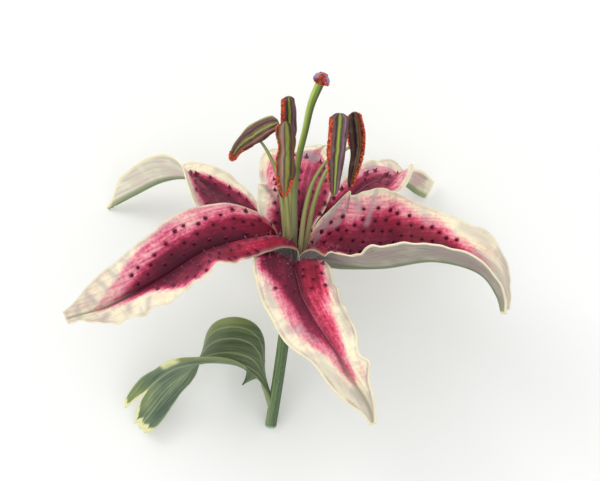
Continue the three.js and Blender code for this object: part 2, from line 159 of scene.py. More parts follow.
# A grid over s from 1 to -1 and t from 0 to 1, whose vertices place(s, t) moves; its faces look
# along the cross product of the directions of growing t and growing s
def gridPiece(name, columns, rows, place):
    deselect()
    bpy.ops.mesh.primitive_grid_add(x_subdivisions=columns, y_subdivisions=rows, size=2, calc_uvs=True)
    piece = bpy.context.object
    piece.name = piece.data.name = name
    flat = np.empty(len(piece.data.vertices) * 3)
    piece.data.vertices.foreach_get("co", flat)
    s, t = -flat[0::3], (flat[1::3] + 1) / 2
    piece.data.vertices.foreach_set("co", (place(s, t) * mm).ravel())
    piece.data.update()
    return piece, s, t


# UV map in millimetres over the surface: u across, v along
def mapInMillimetres(piece, across, run):
    loops = np.empty(len(piece.data.loops), int)
    piece.data.loops.foreach_get("vertex_index", loops)
    flat = np.stack([across[loops], run[loops]], 1)
    piece.data.uv_layers[0].data.foreach_set("uv", flat.ravel().astype(np.float32))


def modify(piece, kind, **settings):
    only(piece)
    bpy.ops.object.modifier_add(type=kind)
    modifier = piece.modifiers[-1]
    for name, value in settings.items():
        setattr(modifier, name, value)
    bpy.ops.object.modifier_apply(modifier=modifier.name)


def shadeSmooth(piece):
    only(piece)
    bpy.ops.object.shade_smooth()


# Joins the rims that meet, and turns the faces of the closed shape outwards
def sealed(piece, distance=0.01):
    only(piece)
    bpy.ops.object.mode_set(mode="EDIT")
    bpy.ops.mesh.select_all(action="SELECT")
    bpy.ops.mesh.remove_doubles(threshold=distance * mm)
    bpy.ops.mesh.normals_make_consistent(inside=False)
    bpy.ops.object.mode_set(mode="OBJECT")
    shadeSmooth(piece)


# Every piece rides on the one body, and one that stands for CAD nodes replaces them
def finishPiece(piece, slotName, *nodes):
    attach(piece, "root")
    if nodes:
        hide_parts(*nodes)


# Tepals, in mm and degrees. A list holds values spread evenly from a blade's foot, t = 0, to its tip,
# t = 1. Across it s runs from -1 to 1, and plus is the side of growing azimuth. spine is the midrib, out
# from the bloom's axis, sideways and up. width is the half width, times each side's scale. fold and
# curl are how far a side leans up beside the midrib and at its rim, lip is how far a rim rolls over,
# and ruffle and frill are waves, with a height, a count and a phase.
# crimson and pink are the shares of the half width that each reaches, depth is how dark the crimson is
# and red how warm: the lower red is, the more the crimson takes of a darker, purpler copy, painted shade.
# hem is the strength of the cream rim, and shade is painted shade over the outer face, below 0 painted
# light that brightens it. Papillae stand up to t = reach, with a bare strip on one blade and a fringe of
# small ones on another. A grey stroke is painted shade, the stamens' painted shadows on the right front
# petal among them, and a dark stroke is deeper painted shade in creases and beside the midrib. Each
# runs from t, s to t, s with a half width and a strength.
tepals = {
    "petal_left_front": {
        "azimuth": 207, "hem": 0.5, "shade": 0.5,
        "spine": [(4.6, 0, -1), (7.5, 0, 14), (13, 0, 25), (22, 0, 28), (38, 0, 26), (58, 0, 15),
                  (80, 0, 5), (94.5, 0, 1.6)],
        "width": [3.6, 6.5, 14, 21.5, 24, 22.5, 18, 13, 4],
        "lip": {"side": 1,
                "drop": [0, 0, -0.8, -1.4, 2, 2.6, 1.8, 0.6, 0, 0, 0, 0, 0, 0, 0, 0, 0, 0, 0, 0, 0]},
        "roll": [0, 0, -5, -8, -5, 0],
        "minus": {
            "scale": [1, 0.86, 0.88, 0.86, 0.82, 0.78, 0.78, 0.83, 0.85, 0.9, 0.9],
            "fold": [5, 50, 55, 55, 50, 40],
            "curl": [50, 30, 20, 15, 10, 20],
            "ruffle": (0.5, 3.5, 0.4), "frill": (0.2, 11, 0.3),
            "crimson": [1, 1, 0.96, 0.82, 0.67, 0.56, 0.52, 0.38, 0.12, -0.1, -0.2],
            "pink": [1.2, 1.2, 1.15, 1.08, 1, 0.96, 0.9, 0.76, 0.52, 0.1, -0.2],
            "depth": [1, 1, 0.95, 0.9, 0.9, 0.88, 0.82, 0.7, 0.6], "red": [0.9, 0.8, 0.5, 0.35, 0.3, 0.3],
        },
        "plus": {
            "scale": [1, 1, 1.15, 1.3, 1.14, 0.96, 0.84, 0.82, 0.82, 0.9, 0.98, 0.92, 0.85, 0.97, 1.08,
                      1.02, 0.95, 1, 1.05, 0.9, 0.7],
            "fold": [5, 35, 55, 68, 80, 86, 74, 62, 52, 50, 48, 44, 40, 35, 30, 26, 22, 18, 15, 12, 10],
            "curl": [50, 45, 45, 46, 36, -8, -32, -32, -20, -8, 0, 0, 0, 0, 0, 0, 0, 0, 0, 0, 0],
            "ruffle": (1.2, 4.5, 0.1), "frill": (0.7, 12, 0.6),
            "crimson": [1.3, 1.3, 1.3, 1.25, 1.05, 0.95, 0.85, 0.38, 0.22, 0.1, -0.2],
            "pink": [1.2, 1.2, 1.2, 1.1, 1.05, 0.98, 0.88, 0.45, 0.3, 0.15, -0.2],
            "depth": [1, 1, 0.85, 0.85, 0.92, 1, 0.9, 0.8],
            "red": [1, 1, 1, 0.9, 0.4, 0.3, 0.3, 0.3, 0.3],
        },
        "papillae": {"count": 120, "reach": 0.74, "seed": 3, "bare": 0.42},
        "grey": [(0.9, -0.75, 0.885, -0.3, 1.2, 0.6), (0.84, -0.85, 0.825, -0.45, 1.1, 0.5),
                 (0.79, -0.9, 0.775, -0.55, 1.2, 0.5), (0.73, -0.95, 0.72, -0.72, 1.2, 0.4),
                 (0.5, -0.9, 0.66, -0.93, 0.5, 0.5), (0.72, 0.6, 0.74, 0.9, 1.2, 0.5),
                 (0.79, 0.45, 0.8, 0.8, 1.3, 0.5), (0.87, 0.5, 0.9, 0.85, 1.5, 0.6),
                 (0.95, -0.5, 0.96, 0.6, 1.4, 0.5)],
        "dark": [(0.42, 0.3, 0.62, 0.3, 3.5, 0.8), (0.33, -0.08, 0.62, -0.12, 3.4, 0.8),
                 (0.6, -0.1, 0.78, -0.05, 1.4, 0.5), (0.66, 0.12, 0.86, 0.1, 1.2, 0.5)],
    },
    "petal_right_front": {
        "azimuth": -22, "hem": 0.6, "shade": 0.6,
        "spine": [(4.6, 0, -1), (7.5, 0, 13), (12, 0, 20), (21, 0, 22.6), (38, 0, 28.7), (60, 0, 39.3),
                  (79, 0, 40), (87, 0, 33), (90, 0, 26.5)],
        "width": [3.6, 6.5, 14, 21.5, 24, 23.5, 19, 12, 3],
        "lip": {"side": -1,
                "drop": [0, 0, -0.8, -1.6, 1.8, 1.9, 0.9, 1.2, 0, 0, 0, 0, 0, 0, 0, 0, 0, 0, 0, 0, 0]},
        "roll": [0, 0],
        "minus": {
            "scale": [1, 1.05, 1.1, 1.15, 1, 0.95, 0.95, 0.88, 0.73, 0.77, 0.86, 0.85, 0.84, 0.9, 0.95, 1,
                      1, 1, 1, 1, 1],
            "fold": [5, 35, 60, 90, 110, 100, 75, 55, 43, 43, 44, 45, 46, 48, 50, 52, 53, 53, 54, 54, 55],
            "curl": [50, 45, 40, 30, 25, 0, 15, 33, 38, 38, 39, 38, 38, 38, 39, 39, 40, 45, 50, 55, 60],
            "ruffle": (0.5, 3.5, 0.4), "frill": (0.3, 10, 0.1),
            "crimson": [1.3, 1.3, 1.3, 1.1, 0.92, 0.85, 0.7, 0.5, 0.2, -0.1, -0.2],
            "pink": [1.2, 1.2, 1.2, 1.1, 1, 0.95, 0.85, 0.7, 0.4, 0, -0.2],
            "depth": [0.9, 0.9, 0.9, 1, 1, 0.9, 0.8], "red": [1, 1],
        },
        "plus": {
            "scale": [1, 1, 1, 1.25, 1.7, 2.1, 1.66, 1.5, 1.43, 1.34, 1.24, 1.1, 0.97, 0.9, 0.88, 0.9,
                      0.94, 0.95, 0.97, 1.1, 1.3],
            "fold": [5, 60, 62, 62, 50, 30],
            "curl": [50, 45, 50, 40, 20, 10],
            "ruffle": (1.5, 4, 0.1), "frill": (0.6, 11, 0.5),
            "crimson": [1, 0.95, 0.62, 0.64, 0.7, 0.72, 0.7, 0.55, 0.25, -0.1, -0.2],
            "pink": [1.2, 1.1, 0.9, 0.92, 0.88, 0.84, 0.82, 0.68, 0.42, 0.1, -0.2],
            "depth": [1, 0.84, 0.72, 0.86, 0.95, 0.95, 0.86, 0.75],
            "red": [0.7, 0.6, 0.5, 0.75, 0.9, 0.9, 0.9],
        },
        "papillae": {"count": 120, "reach": 0.74, "seed": 8},
        "grey": [(0.23, 0.95, 0.21, 0.7, 1.7, 0.75), (0.21, 0.7, 0.18, 0.6, 1.9, 0.7),
                 (0.28, 0.92, 0.24, 0.6, 1.3, 0.75), (0.31, 0.98, 0.34, 0.75, 1.2, 0.6),
                 (0.4, 1, 0.375, 0.55, 1.3, 0.6), (0.6, 0.95, 0.62, 0.72, 2, 0.35),
                 (0.8, 0.35, 0.95, 0.4, 2.4, 0.55), (0.86, 0.85, 0.93, 0.7, 2, 0.5),
                 (0.72, 0.85, 0.8, 0.8, 2, 0.4)],
        "dark": [(0.26, 0.2, 0.5, 0.28, 5, 0.55), (0.5, 0.28, 0.66, 0.2, 2.5, 0.35)],
    },
    "petal_back": {
        "azimuth": 88, "hem": 0.5, "shade": 0,
        "spine": [(4.6, 0, -1), (7, 0, 14), (12, 0, 25), (24, 0, 32), (38, 0, 37.5), (48, -1, 40),
                  (56, -3.5, 41.5), (61, -5.5, 37), (61.5, -6, 30)],
        "width": [3.6, 6, 11.5, 18, 20, 18, 8, 5, 1],
        "roll": [0, 0],
        "minus": {
            "scale": [1, 0.8, 0.5, 0.44, 0.5, 0.52, 0.55, 0.95, 0.7, 0.8, 1],
            "fold": [5, 48, 44, 22, 5, 40],
            "curl": [50, 30, 5, -20, 0, 30],
            "ruffle": (1, 3.5, 0.4), "frill": (0.4, 9, 0.2),
            "crimson": [1, 1, 1, 1, 1, 0.95, 0.8, 0.3, -0.2, -0.2, -0.2],
            "pink": [1.2, 1.2, 1.2, 1.2, 1.1, 1.05, 0.95, 0.7, 0, -0.2, -0.2],
            "depth": [1, 1, 0.9, 0.8, 0.7, 0.6, 0.5, 0.45, 0.4],
            "red": [0.3, 0.3, 0.4, 0.5, 0.6, 0.7, 0.8],
        },
        "plus": {
            "scale": [1, 0.85, 0.74, 0.73, 0.82, 1, 1.12, 1.1, 1.02, 0.98, 0.98, 1, 1.1, 1.32, 1.72, 1.95,
                      1.3, 0.45, 0.35, 0.5, 0.8],
            "fold": [5, 34, 44, 30, 22, 12, 0, 5, -2, 0, 20],
            "curl": [50, 35, 20, 10, 5, -10, -28, -12, -25, 0, 20],
            "ruffle": (0.6, 4.5, 0.1), "frill": (0.5, 9, 0.7),
            "crimson": [1, 0.95, 0.85, 0.7, 0.62, 0.6, 0.6, 0.4, 0, -0.2, -0.2],
            "pink": [1.2, 1.1, 0.95, 0.82, 0.78, 0.8, 0.86, 0.75, 0.1, -0.2, -0.2],
            "depth": [1, 1, 0.95, 0.88, 0.72, 0.56, 0.46, 0.42, 0.4],
            "red": [0.3, 0.3, 0.3, 0.4, 0.6, 0.7, 0.8],
        },
        "papillae": {"count": 60, "reach": 0.72, "seed": 5},
        "grey": [(0.62, 1, 0.58, 0.92, 1.6, 0.45), (0.45, 1, 0.46, 0.85, 1.6, 0.4),
                 (0.73, 0.08, 0.74, 0.28, 2.4, 0.9), (0.3, 0.95, 0.36, 0.9, 1.2, 0.4)],
        "dark": [(0.52, 0.93, 0.42, 0.62, 1.3, 0.6), (0.42, 0.62, 0.28, 0.4, 1.8, 0.6),
                 (0.15, 0, 0.4, 0, 3, 0.5)],
    },
    "sepal_front": {
        "azimuth": 270, "hem": 1, "shade": 0.2,
        "spine": [(6.7, 0, -1), (8.7, 0, 13), (12, 0, 22), (17.5, 0.5, 25.5), (26, 2.7, 24.9),
                  (35, 5.9, 22), (42, 10.1, 19.5), (47, 14.4, 16.3), (54, 22.2, 10.4), (58, 27.5, 4.2),
                  (63, 37.3, -6.2), (65, 39.9, -12.3)],
        "width": [3.1, 5.2, 12, 15.5, 17, 16, 13, 8, 1.8],
        "roll": [0, 0],
        "minus": {
            "scale": [1, 0.9, 1, 1.24, 1.07, 0.95, 0.91, 0.74, 0.78, 0.92, 1],
            "fold": [5, 30, 25, 20, 25, 35],
            "curl": [30, 0, -20, -20, 0, 20],
            "ruffle": (0.8, 3.5, 0.4), "frill": (0.3, 8, 0.5),
            "crimson": [1, 1, 0.95, 0.86, 0.6, 0.45, 0.4, 0.22, 0.05, -0.2, -0.2],
            "pink": [1.2, 1.2, 1.1, 0.95, 0.72, 0.66, 0.62, 0.45, 0.2, -0.1, -0.2],
            "depth": [1, 1, 1, 0.92, 0.8, 0.62, 0.55, 0.6, 0.7],
            "red": [0.4, 0.4, 0.35, 0.35, 0.5, 0.9, 0.9],
        },
        "plus": {
            "scale": [1, 0.97, 0.95, 0.95, 0.95, 0.95, 1, 0.96, 0.9, 0.86, 0.82, 0.8, 0.8, 0.77, 0.68,
                      0.6, 0.9, 0.69, 0.66, 0.65, 0.7],
            "fold": [5, 25, 25, 20, 25, 35],
            "curl": [30, 0, -20, -20, 0, 20],
            "ruffle": (0.9, 4.5, 0.1), "frill": (0.3, 9, 0.2),
            "crimson": [1, 1, 0.9, 0.8, 0.72, 0.62, 0.42, 0.3, 0.12, -0.2, -0.2],
            "pink": [1.2, 1.2, 1.05, 0.92, 0.82, 0.68, 0.5, 0.4, 0.25, -0.1, -0.2],
            "depth": [1, 1, 1, 0.88, 0.62, 0.56, 0.58, 0.7, 0.8], "red": [1, 1],
        },
        "papillae": {"count": 44, "reach": 0.44, "seed": 11},
        "fringe": {"count": 34, "t": (0.2, 0.27), "s": (-0.72, 0.72), "size": 0.55},
        "grey": [(0.4, -0.78, 0.48, -0.8, 1.3, 0.5), (0.56, -0.78, 0.58, -0.5, 1.6, 0.45),
                 (0.66, -0.85, 0.7, -0.6, 1.5, 0.35), (0.72, -0.75, 0.84, -0.5, 2, 0.4),
                 (0.4, 0.85, 0.62, 0.85, 0.6, 0.55), (0.3, 0.9, 0.4, 0.88, 1, 0.5),
                 (0.86, -0.3, 0.97, 0.1, 2.4, 0.65), (0.6, 0.8, 0.68, 0.75, 1.6, 0.4),
                 (0.9, 0.6, 0.98, 0.4, 1.6, 0.5)],
        "dark": [(0.28, -0.6, 0.36, -0.55, 3, 0.4), (0.26, -0.15, 0.48, -0.22, 2.6, 0.6),
                 (0.5, -0.2, 0.62, -0.28, 2.4, 0.55), (0.6, -0.03, 0.8, -0.03, 0.9, 0.7),
                 (0.28, 0.04, 0.5, 0.04, 1.2, 0.5)],
    },
    "sepal_left_back": {
        "azimuth": 150, "hem": 0.7, "shade": -0.45,
        "spine": [(6.7, 0, -1), (8.8, 0, 13), (13.2, 0, 24), (22, 0, 28.5), (38, 0, 31.8), (53, 0, 34),
                  (65, 0, 28.6), (80, -0.5, 15.5), (93, -1.5, 3.12)],
        "width": [3.1, 5, 9.7, 13.3, 14, 13.5, 11.5, 7.5, 0.8],
        "roll": [0, 0],
        "minus": {
            "scale": [1, 0.64, 0.45, 0.52, 0.84, 0.76, 0.65, 0.65, 0.8, 0.9, 1],
            "fold": [5, 4, 20, 30, 40, 50],
            "curl": [30, -20, 0, 10, 20, 30],
            "ruffle": (0.6, 3.5, 0.4), "frill": (0.3, 8, 0.4),
            "crimson": [1, 0.95, 0.9, 0.8, 0.6, 0.42, 0.2, -0.1, -0.2, -0.2, -0.2],
            "pink": [1.2, 1.1, 1, 0.9, 0.7, 0.52, 0.3, 0.02, -0.2, -0.2, -0.2],
            "depth": [1, 1, 0.9, 0.82, 0.74, 0.7, 0.6], "red": [0.4, 0.4],
        },
        "plus": {
            "scale": [1, 1, 1, 1.15, 1.35, 1.3, 1.05, 0.94, 0.97, 1.12, 0.9],
            "fold": [5, 20, 15, 50, 80, 80],
            "curl": [30, -10, -10, 60, 80, 90],
            "ruffle": (0.5, 3.5, 0.1), "frill": (0.3, 8, 0.8),
            "crimson": [1, 1, 0.95, 0.9, 0.82, 0.66, 0.35, -0.1, -0.2, -0.2, -0.2],
            "pink": [1.2, 1.2, 1.1, 1, 0.95, 0.8, 0.5, 0, -0.2, -0.2, -0.2],
            "depth": [1, 1, 0.95, 0.9, 0.85, 0.8, 0.7], "red": [0.3, 0.3],
        },
        "papillae": {"count": 40, "reach": 0.58, "seed": 21},
        "grey": [(0.5, 0.82, 0.42, 0.85, 1.2, 0.4), (0.62, -0.3, 0.66, -0.7, 1.8, 0.4)],
        "dark": [(0.25, 0, 0.52, 0.05, 1.8, 0.6)],
    },
    "sepal_right_back": {
        "azimuth": 51, "hem": 0.6, "shade": 0,
        "spine": [(6.7, 0, -1), (10.2, 0, 12), (16.5, 0, 22.5), (22.5, 0, 30), (30, 0, 36.3),
                  (39.5, 0, 39.8), (53, 0, 38.5), (62, 0, 33.5), (71, 0, 26.4), (78, 0, 21.8)],
        "width": [3.1, 4.8, 9.5, 13.3, 14, 14, 12, 11, 7],
        "roll": [0, 0],
        "minus": {
            "scale": [1, 1, 1, 1, 1, 1, 1, 1, 1, 1, 1, 1.02, 1.05, 1.08, 1, 0.58, 0.54, 0.7, 0.86, 0.98,
                      1.05],
            "fold": [5, 15, 20, 15, 10, 12, 15, 45, 85, 90, 85],
            "curl": [30, 10, -10, -10, -10, 0, 10, 55, 95, 100, 95],
            "ruffle": (0.6, 3.5, 0.4), "frill": (0.3, 7, 0.3),
            "crimson": [1, 1, 0.95, 0.9, 0.85, 0.8, 0.7, 0.4, 0, -0.2, -0.2],
            "pink": [1.2, 1.2, 1.1, 1, 0.98, 0.92, 0.88, 0.7, 0.2, -0.2, -0.2],
            "depth": [1, 1, 0.9, 0.85, 0.8, 0.75, 0.7, 0.5], "red": [0.35, 0.35],
        },
        "plus": {
            "scale": [1, 0.9, 0.8, 0.68, 0.6, 0.62, 0.64, 0.8, 1.05, 0.6, 0.6],
            "fold": [5, 12, 8, 25, 40, 50],
            "curl": [30, 10, 10, 10, 20, 30],
            "ruffle": (0.8, 3.5, 0.1), "frill": (0.4, 7, 0.6),
            "crimson": [1, 0.95, 0.9, 0.8, 0.7, 0.6, 0.5, 0.2, -0.2, -0.2, -0.2],
            "pink": [1.2, 1.1, 1, 0.95, 0.9, 0.85, 0.8, 0.62, 0.2, -0.2, -0.2],
            "depth": [1, 1, 0.9, 0.8, 0.7, 0.6, 0.5, 0.45], "red": [0.4, 0.4],
        },
        "papillae": {"count": 30, "reach": 0.72, "seed": 34},
        "grey": [(0.62, 0.65, 0.66, 0.78, 1.8, 0.6), (0.72, 0.4, 0.76, 0.7, 1.6, 0.4),
                 (0.56, 0.7, 0.58, 0.9, 1.2, 0.4)],
        "dark": [(0.45, 0, 0.66, 0, 1.8, 0.45)],
    },
}
# Thickness at the midrib and the rim, and the relief of both faces; flush is how red pink skin is
petalForm = {
    "columns": 72, "rows": 170, "midrib": 1.1, "rim": 0.5, "rib": 0.8, "ribWidth": 1.2,
    "veinSpacing": 1.5, "veinDepth": 0.05, "bead": 0.16, "beadWidth": 0.7, "flush": 0.36,
}


# Both sides' lists of one profile, read at t on the side that s lies on
def sided(blade, name, t, s):
    return np.where(s < 0, along(blade["minus"][name], t), along(blade["plus"][name], t))


# Height of a wave that grows towards the rim, with a fainter, faster wave on it
def wavesOf(blade, name, t, s, power):
    total = np.zeros_like(t)
    for side, picked in (("minus", s < 0), ("plus", s >= 0)):
        amount, waves, phase = blade[side][name]
        wave = np.sin(2 * math.pi * (waves * t + phase)) + 0.45 * np.sin(
            2 * math.pi * (waves * 1.9 * t + phase * 2.3)
        )
        total = np.where(picked, amount * wave, total)
    return along([0, 0.6, 1, 1, 0.5], t) * total * np.abs(s) ** power


# Points of a blade's middle surface in its own upright plane, with the direction out of its inner
# face, the distance from the midrib and the half width there
def bladeSurface(blade, t, s):
    centre, tangent, length = onLine(blade["spine"], t)
    side = unit(np.array([0, 1.0, 0]) - tangent * tangent[:, 1:2])
    up = np.cross(tangent, side)
    roll = np.radians(along(blade["roll"], t))[:, None]
    side, up = np.cos(roll) * side + np.sin(roll) * up, np.cos(roll) * up - np.sin(roll) * side
    a = np.abs(s)
    fold = np.radians(sided(blade, "fold", t, s))
    turn = np.radians(sided(blade, "curl", t, s)) - fold
    turn = np.where(np.abs(turn) < 1e-4, 1e-4, turn)
    angle = fold + turn * a
    width = along(blade["width"], t) * sided(blade, "scale", t, s)
    out = width * (np.sin(angle) - np.sin(fold)) / turn
    rise = -width * (np.cos(angle) - np.cos(fold)) / turn
    lift = wavesOf(blade, "ruffle", t, s, 2.2) + wavesOf(blade, "frill", t, s, 5)
    fromRim = (1 - a) * width
    form = blade["form"]
    lift += form["veinDepth"] * np.cos(2 * math.pi * a * width / form["veinSpacing"]) * smooth(1, 3, fromRim)
    lift += form["bead"] * np.exp(-((fromRim / form["beadWidth"]) ** 2)) * smooth(0.1, 0.3, t)
    rise = rise - form["rib"] * np.clip(1.15 - t, 0, 1) * np.exp(-((a * width / form["ribWidth"]) ** 2))
    across = np.sign(s) * (out - lift * np.sin(angle))
    points = centre + side * across[:, None] + up * (rise + lift * np.cos(angle))[:, None]
    if "lip" in blade:
        onSide = s * blade["lip"]["side"] > 0
        points[:, 2] += along(blade["lip"]["drop"], t) * np.where(onSide, a**2 - 2 * a**8, 0)
    inward = unit(up * np.cos(angle)[:, None] - side * (np.sign(s) * np.sin(angle))[:, None])
    return points, inward, a * width, width, length


# Points from a blade's own upright plane to the part's axes
def tepalPlace(blade, points):
    return inPart(points @ turned(blade["azimuth"], "Z").T)


def directionInPart(blade, vectors):
    return vectors @ turned(blade["azimuth"], "Z").T @ bloomTurn.T


# Papillae stand where the blade is crimson, no two closer than the spacing, with room round their tips.
# start and bareFrom are values of t; clear, inset and edge are shares of the half width.
papillae = {
    "radius": 1.08, "height": 2, "sides": 7, "sizes": (0.75, 1.15), "lean": 0.25,
    "profile": [(1, -0.1), (0.62, 0.14), (0.36, 0.42), (0.22, 0.75), (0.02, 1)],
    "tries": 6000, "spacing": 3.8, "room": 1.2, "start": 0.14, "bareFrom": 0.3,
    "clear": 0.17, "inset": 0.03, "edge": 0.93,
}


# t and s of the papillae of one blade
def papillaSpots(blade):
    chosen = random.Random(blade["papillae"]["seed"])
    tries = [(chosen.random(), chosen.uniform(-1, 1)) for unused in range(papillae["tries"])]
    reach = blade["papillae"]["reach"] - papillae["start"]
    t = papillae["start"] + reach * np.array([p[0] for p in tries])
    s = np.array([p[1] for p in tries])
    points, inward = bladeSurface(blade, t, s)[:2]
    way = unit(inward + papillae["lean"] * unit(points * np.array([1, 1, 0])))
    tips = points + way * papillae["height"] * papillae["sizes"][1]
    edge = sided(blade, "pink", t, s) * 0.5 + sided(blade, "crimson", t, s) * 0.5 - papillae["inset"]
    bare = (t > papillae["bareFrom"]) & (s > 0) & (s < blade["papillae"].get("bare", 0))
    edge = np.where(bare, 0, edge)
    kept = []
    for i in range(len(t)):
        if len(kept) >= blade["papillae"]["count"]:
            break
        if abs(s[i]) > min(edge[i], papillae["edge"]) or abs(s[i]) < papillae["clear"]:
            continue
        apart = all(np.linalg.norm(points[i] - points[k]) > papillae["spacing"] for k in kept)
        if apart and np.min(np.linalg.norm(points - tips[i], axis=1)) > papillae["room"]:
            kept.append(i)
    return t[kept], s[kept]


def joined(name, parts):
    deselect()
    for part in parts:
        part.select_set(True)
    bpy.context.view_layer.objects.active = parts[0]
    bpy.ops.object.join()
    piece = bpy.context.object
    piece.name = piece.data.name = name
    return piece


# Turned shape: the profile's pairs are share of the radius and share of the height
def turnedPiece(name, form):
    radii, heights = zip(*form["profile"])

    def place(s, t):
        r = along(radii, t) * form["radius"]
        height = along(heights, t) * form["height"]
        return np.stack([r * np.cos(math.pi * s), r * np.sin(math.pi * s), height], 1)

    piece = gridPiece(name, form["sides"], len(radii) - 1, place)[0]
    sealed(piece, 0.001)
    return piece


# A copy of a piece with its own mesh, its Z axis turned to a direction
def copyAt(piece, point, direction, size, spin):
    copy = piece.copy()
    copy.data = piece.data.copy()
    bpy.context.collection.objects.link(copy)
    turn = Vector(direction).to_track_quat("Z", "Y").to_matrix().to_4x4() @ Matrix.Rotation(spin, 4, "Z")
    copy.data.transform(Matrix.Translation(Vector(point) * mm) @ turn @ Matrix.Scale(size, 4))
    return copy


# Petal skin, inner face: a thin wax over cells full of red sap, which fades through pink to cream.
# Fine lengthwise veins, painted grey-lilac shade in the hollows, and a dark rib that turns green towards the
# tip.
def petalInnerSkin():
    skin = newMaterial("petal_skin_inner")
    blush, rib, rim, run, red, spot, grey, dark, hem = (
        add(skin, "Attribute", output="Fac", attribute_name=name)
        for name in ("blush", "rib", "rim", "run", "red", "spot", "grey", "dark", "hem")
    )
    place = add(skin, "TexCoord", output="Object")
    surface = add(skin, "UVMap")
    # Cell groups about 1.2 mm across soften the edges of the red field
    flecks = add(skin, "TexNoise", {"Vector": place, "Scale": 800, "Detail": 3, "Roughness": 0.6})
    clouds = add(skin, "TexNoise", {"Vector": place, "Scale": 110, "Detail": 2})
    stretched = add(skin, "Mapping", {"Vector": surface, "Scale": (0.9, 0.06, 1)})
    streaks = add(skin, "TexNoise", {"Vector": stretched, "Scale": 1, "Detail": 4, "Roughness": 0.65})
    fleck = add(skin, "MapRange", {0: flecks, 1: 0.3, 2: 0.7, 3: -0.1, 4: 0.1})
    cloud = add(skin, "MapRange", {0: clouds, 1: 0.3, 2: 0.7, 3: -0.1, 4: 0.1})
    streak = add(skin, "MapRange", {0: streaks, 1: 0.3, 2: 0.7, 3: -0.14, 4: 0.14})
    field = add(skin, "Math", {0: fleck, 1: cloud}, operation="ADD")
    field = add(skin, "Math", {0: field, 1: streak}, operation="ADD")
    field = add(skin, "Math", {0: field, 1: blush}, operation="ADD", use_clamp=True)
    warm = add(skin, "ValToRGB", {0: field}, stops=[
        (0, "#f3ebcb"), (0.15, "#f2d0b9"), (0.34, "#ea909f"),
        (0.52, "#dd4f6e"), (0.74, "#a51d3c"), (1, "#780e27")])
    # Crimson in painted shade: a darker, purpler copy of the ramp, mixed in where red is low
    crimsonInShade = add(skin, "ValToRGB", {0: field}, stops=[
        (0, "#efe5c8"), (0.15, "#eccab8"), (0.34, "#dd8a9b"),
        (0.52, "#b54265"), (0.74, "#7b1f42"), (1, "#53122c")])
    base = add(skin, "Mix", {0: red, 6: crimsonInShade, 7: warm}, 2, data_type="RGBA")
    # Painted grey-lilac shade: faint random patches over the pale parts, and the grey strokes,
    # which hold painted shadows of the stamens too
    wide = add(skin, "Mapping", {"Vector": surface, "Scale": (0.14, 0.3, 1)})
    patches = add(skin, "TexNoise", {"Vector": wide, "Scale": 1, "Detail": 2})
    patch = add(skin, "MapRange", {0: patches, 1: 0.5, 2: 0.7, 3: 0, 4: 0.35},
                interpolation_type="SMOOTHSTEP")
    pale = add(skin, "MapRange", {0: field, 1: 0.05, 2: 0.35, 3: 1, 4: 0})
    faint = add(skin, "Math", {0: patch, 1: pale}, operation="MULTIPLY")
    shaded = add(skin, "Math", {0: faint, 1: grey}, operation="MAXIMUM")
    base = add(skin, "Mix", {0: shaded, 6: base, 7: colour("#9f969b")}, 2, data_type="RGBA")
    # Dark strokes are deeper painted shade, in creases and beside the midrib
    base = add(skin, "Mix", {0: dark, 6: base, 7: colour("#430f25")}, 2, data_type="RGBA")
    # The rib is dark purple with a paler ridge inside the red field, and grey-green beyond it
    nearRib = add(skin, "MapRange", {0: rib, 1: 0.4, 2: 4.5, 3: 0.6, 4: 0}, interpolation_type="SMOOTHSTEP")
    inRed = add(skin, "Math", {0: nearRib, 1: blush}, operation="MULTIPLY")
    base = add(skin, "Mix", {0: inRed, 6: base, 7: colour("#4a1229")}, 2, data_type="RGBA")
    ridge = add(skin, "MapRange", {0: rib, 1: 0.12, 2: 0.5, 3: 0.4, 4: 0}, interpolation_type="SMOOTHSTEP")
    base = add(skin, "Mix", {0: ridge, 6: base, 7: colour("#b07f8f")}, 2, data_type="RGBA")
    ribLine = add(skin, "MapRange", {0: rib, 1: 0.3, 2: 1.3, 3: 0.8, 4: 0}, interpolation_type="SMOOTHSTEP")
    tip = add(skin, "MapRange", {0: run, 1: 0.72, 2: 0.86, 3: 0, 4: 1})
    green = add(skin, "Math", {0: ribLine, 1: tip}, operation="MULTIPLY")
    base = add(skin, "Mix", {0: green, 6: base, 7: colour("#9aa070")}, 2, data_type="RGBA")
    # Painted shade: the pale ends are darkened to a greyish cream in streaks
    ends = add(skin, "MapRange", {0: run, 1: 0.74, 2: 0.98, 3: 0, 4: 0.6})
    dull = add(skin, "MapRange", {0: streaks, 1: 0.4, 2: 0.6, 3: 0.35, 4: 1})
    dryEdgeAndTipShade = add(skin, "Math", {0: ends, 1: dull}, operation="MULTIPLY")
    base = add(skin, "Mix", {0: dryEdgeAndTipShade, 6: base, 7: colour("#a69a8e")}, 2, data_type="RGBA")
    # The rim is a cream bead, with painted grey-lilac shade in a thin hollow inside it
    uneven = add(skin, "MapRange", {0: clouds, 1: 0.35, 2: 0.65, 3: 0.2, 4: 1})
    uneven = add(skin, "Math", {0: uneven, 1: hem}, operation="MULTIPLY")
    hollowShade = add(skin, "MapRange", {0: rim, 1: 0.9, 2: 2.2, 3: 0.75, 4: 0}, interpolation_type="SMOOTHSTEP")
    hollowShade = add(skin, "Math", {0: hollowShade, 1: uneven}, operation="MULTIPLY")
    base = add(skin, "Mix", {0: hollowShade, 6: base, 7: colour("#9d8f97")}, 2, data_type="RGBA")
    bead = add(skin, "MapRange", {0: rim, 1: 0.3, 2: 1.1, 3: 0.9, 4: 0}, interpolation_type="SMOOTHSTEP")
    bead = add(skin, "Math", {0: bead, 1: hem}, operation="MULTIPLY")
    base = add(skin, "Mix", {0: bead, 6: base, 7: colour("#f1e6bd")}, 2, data_type="RGBA")
    base = add(skin, "Mix", {0: spot, 6: base, 7: colour("#5a1230")}, 2, data_type="RGBA")
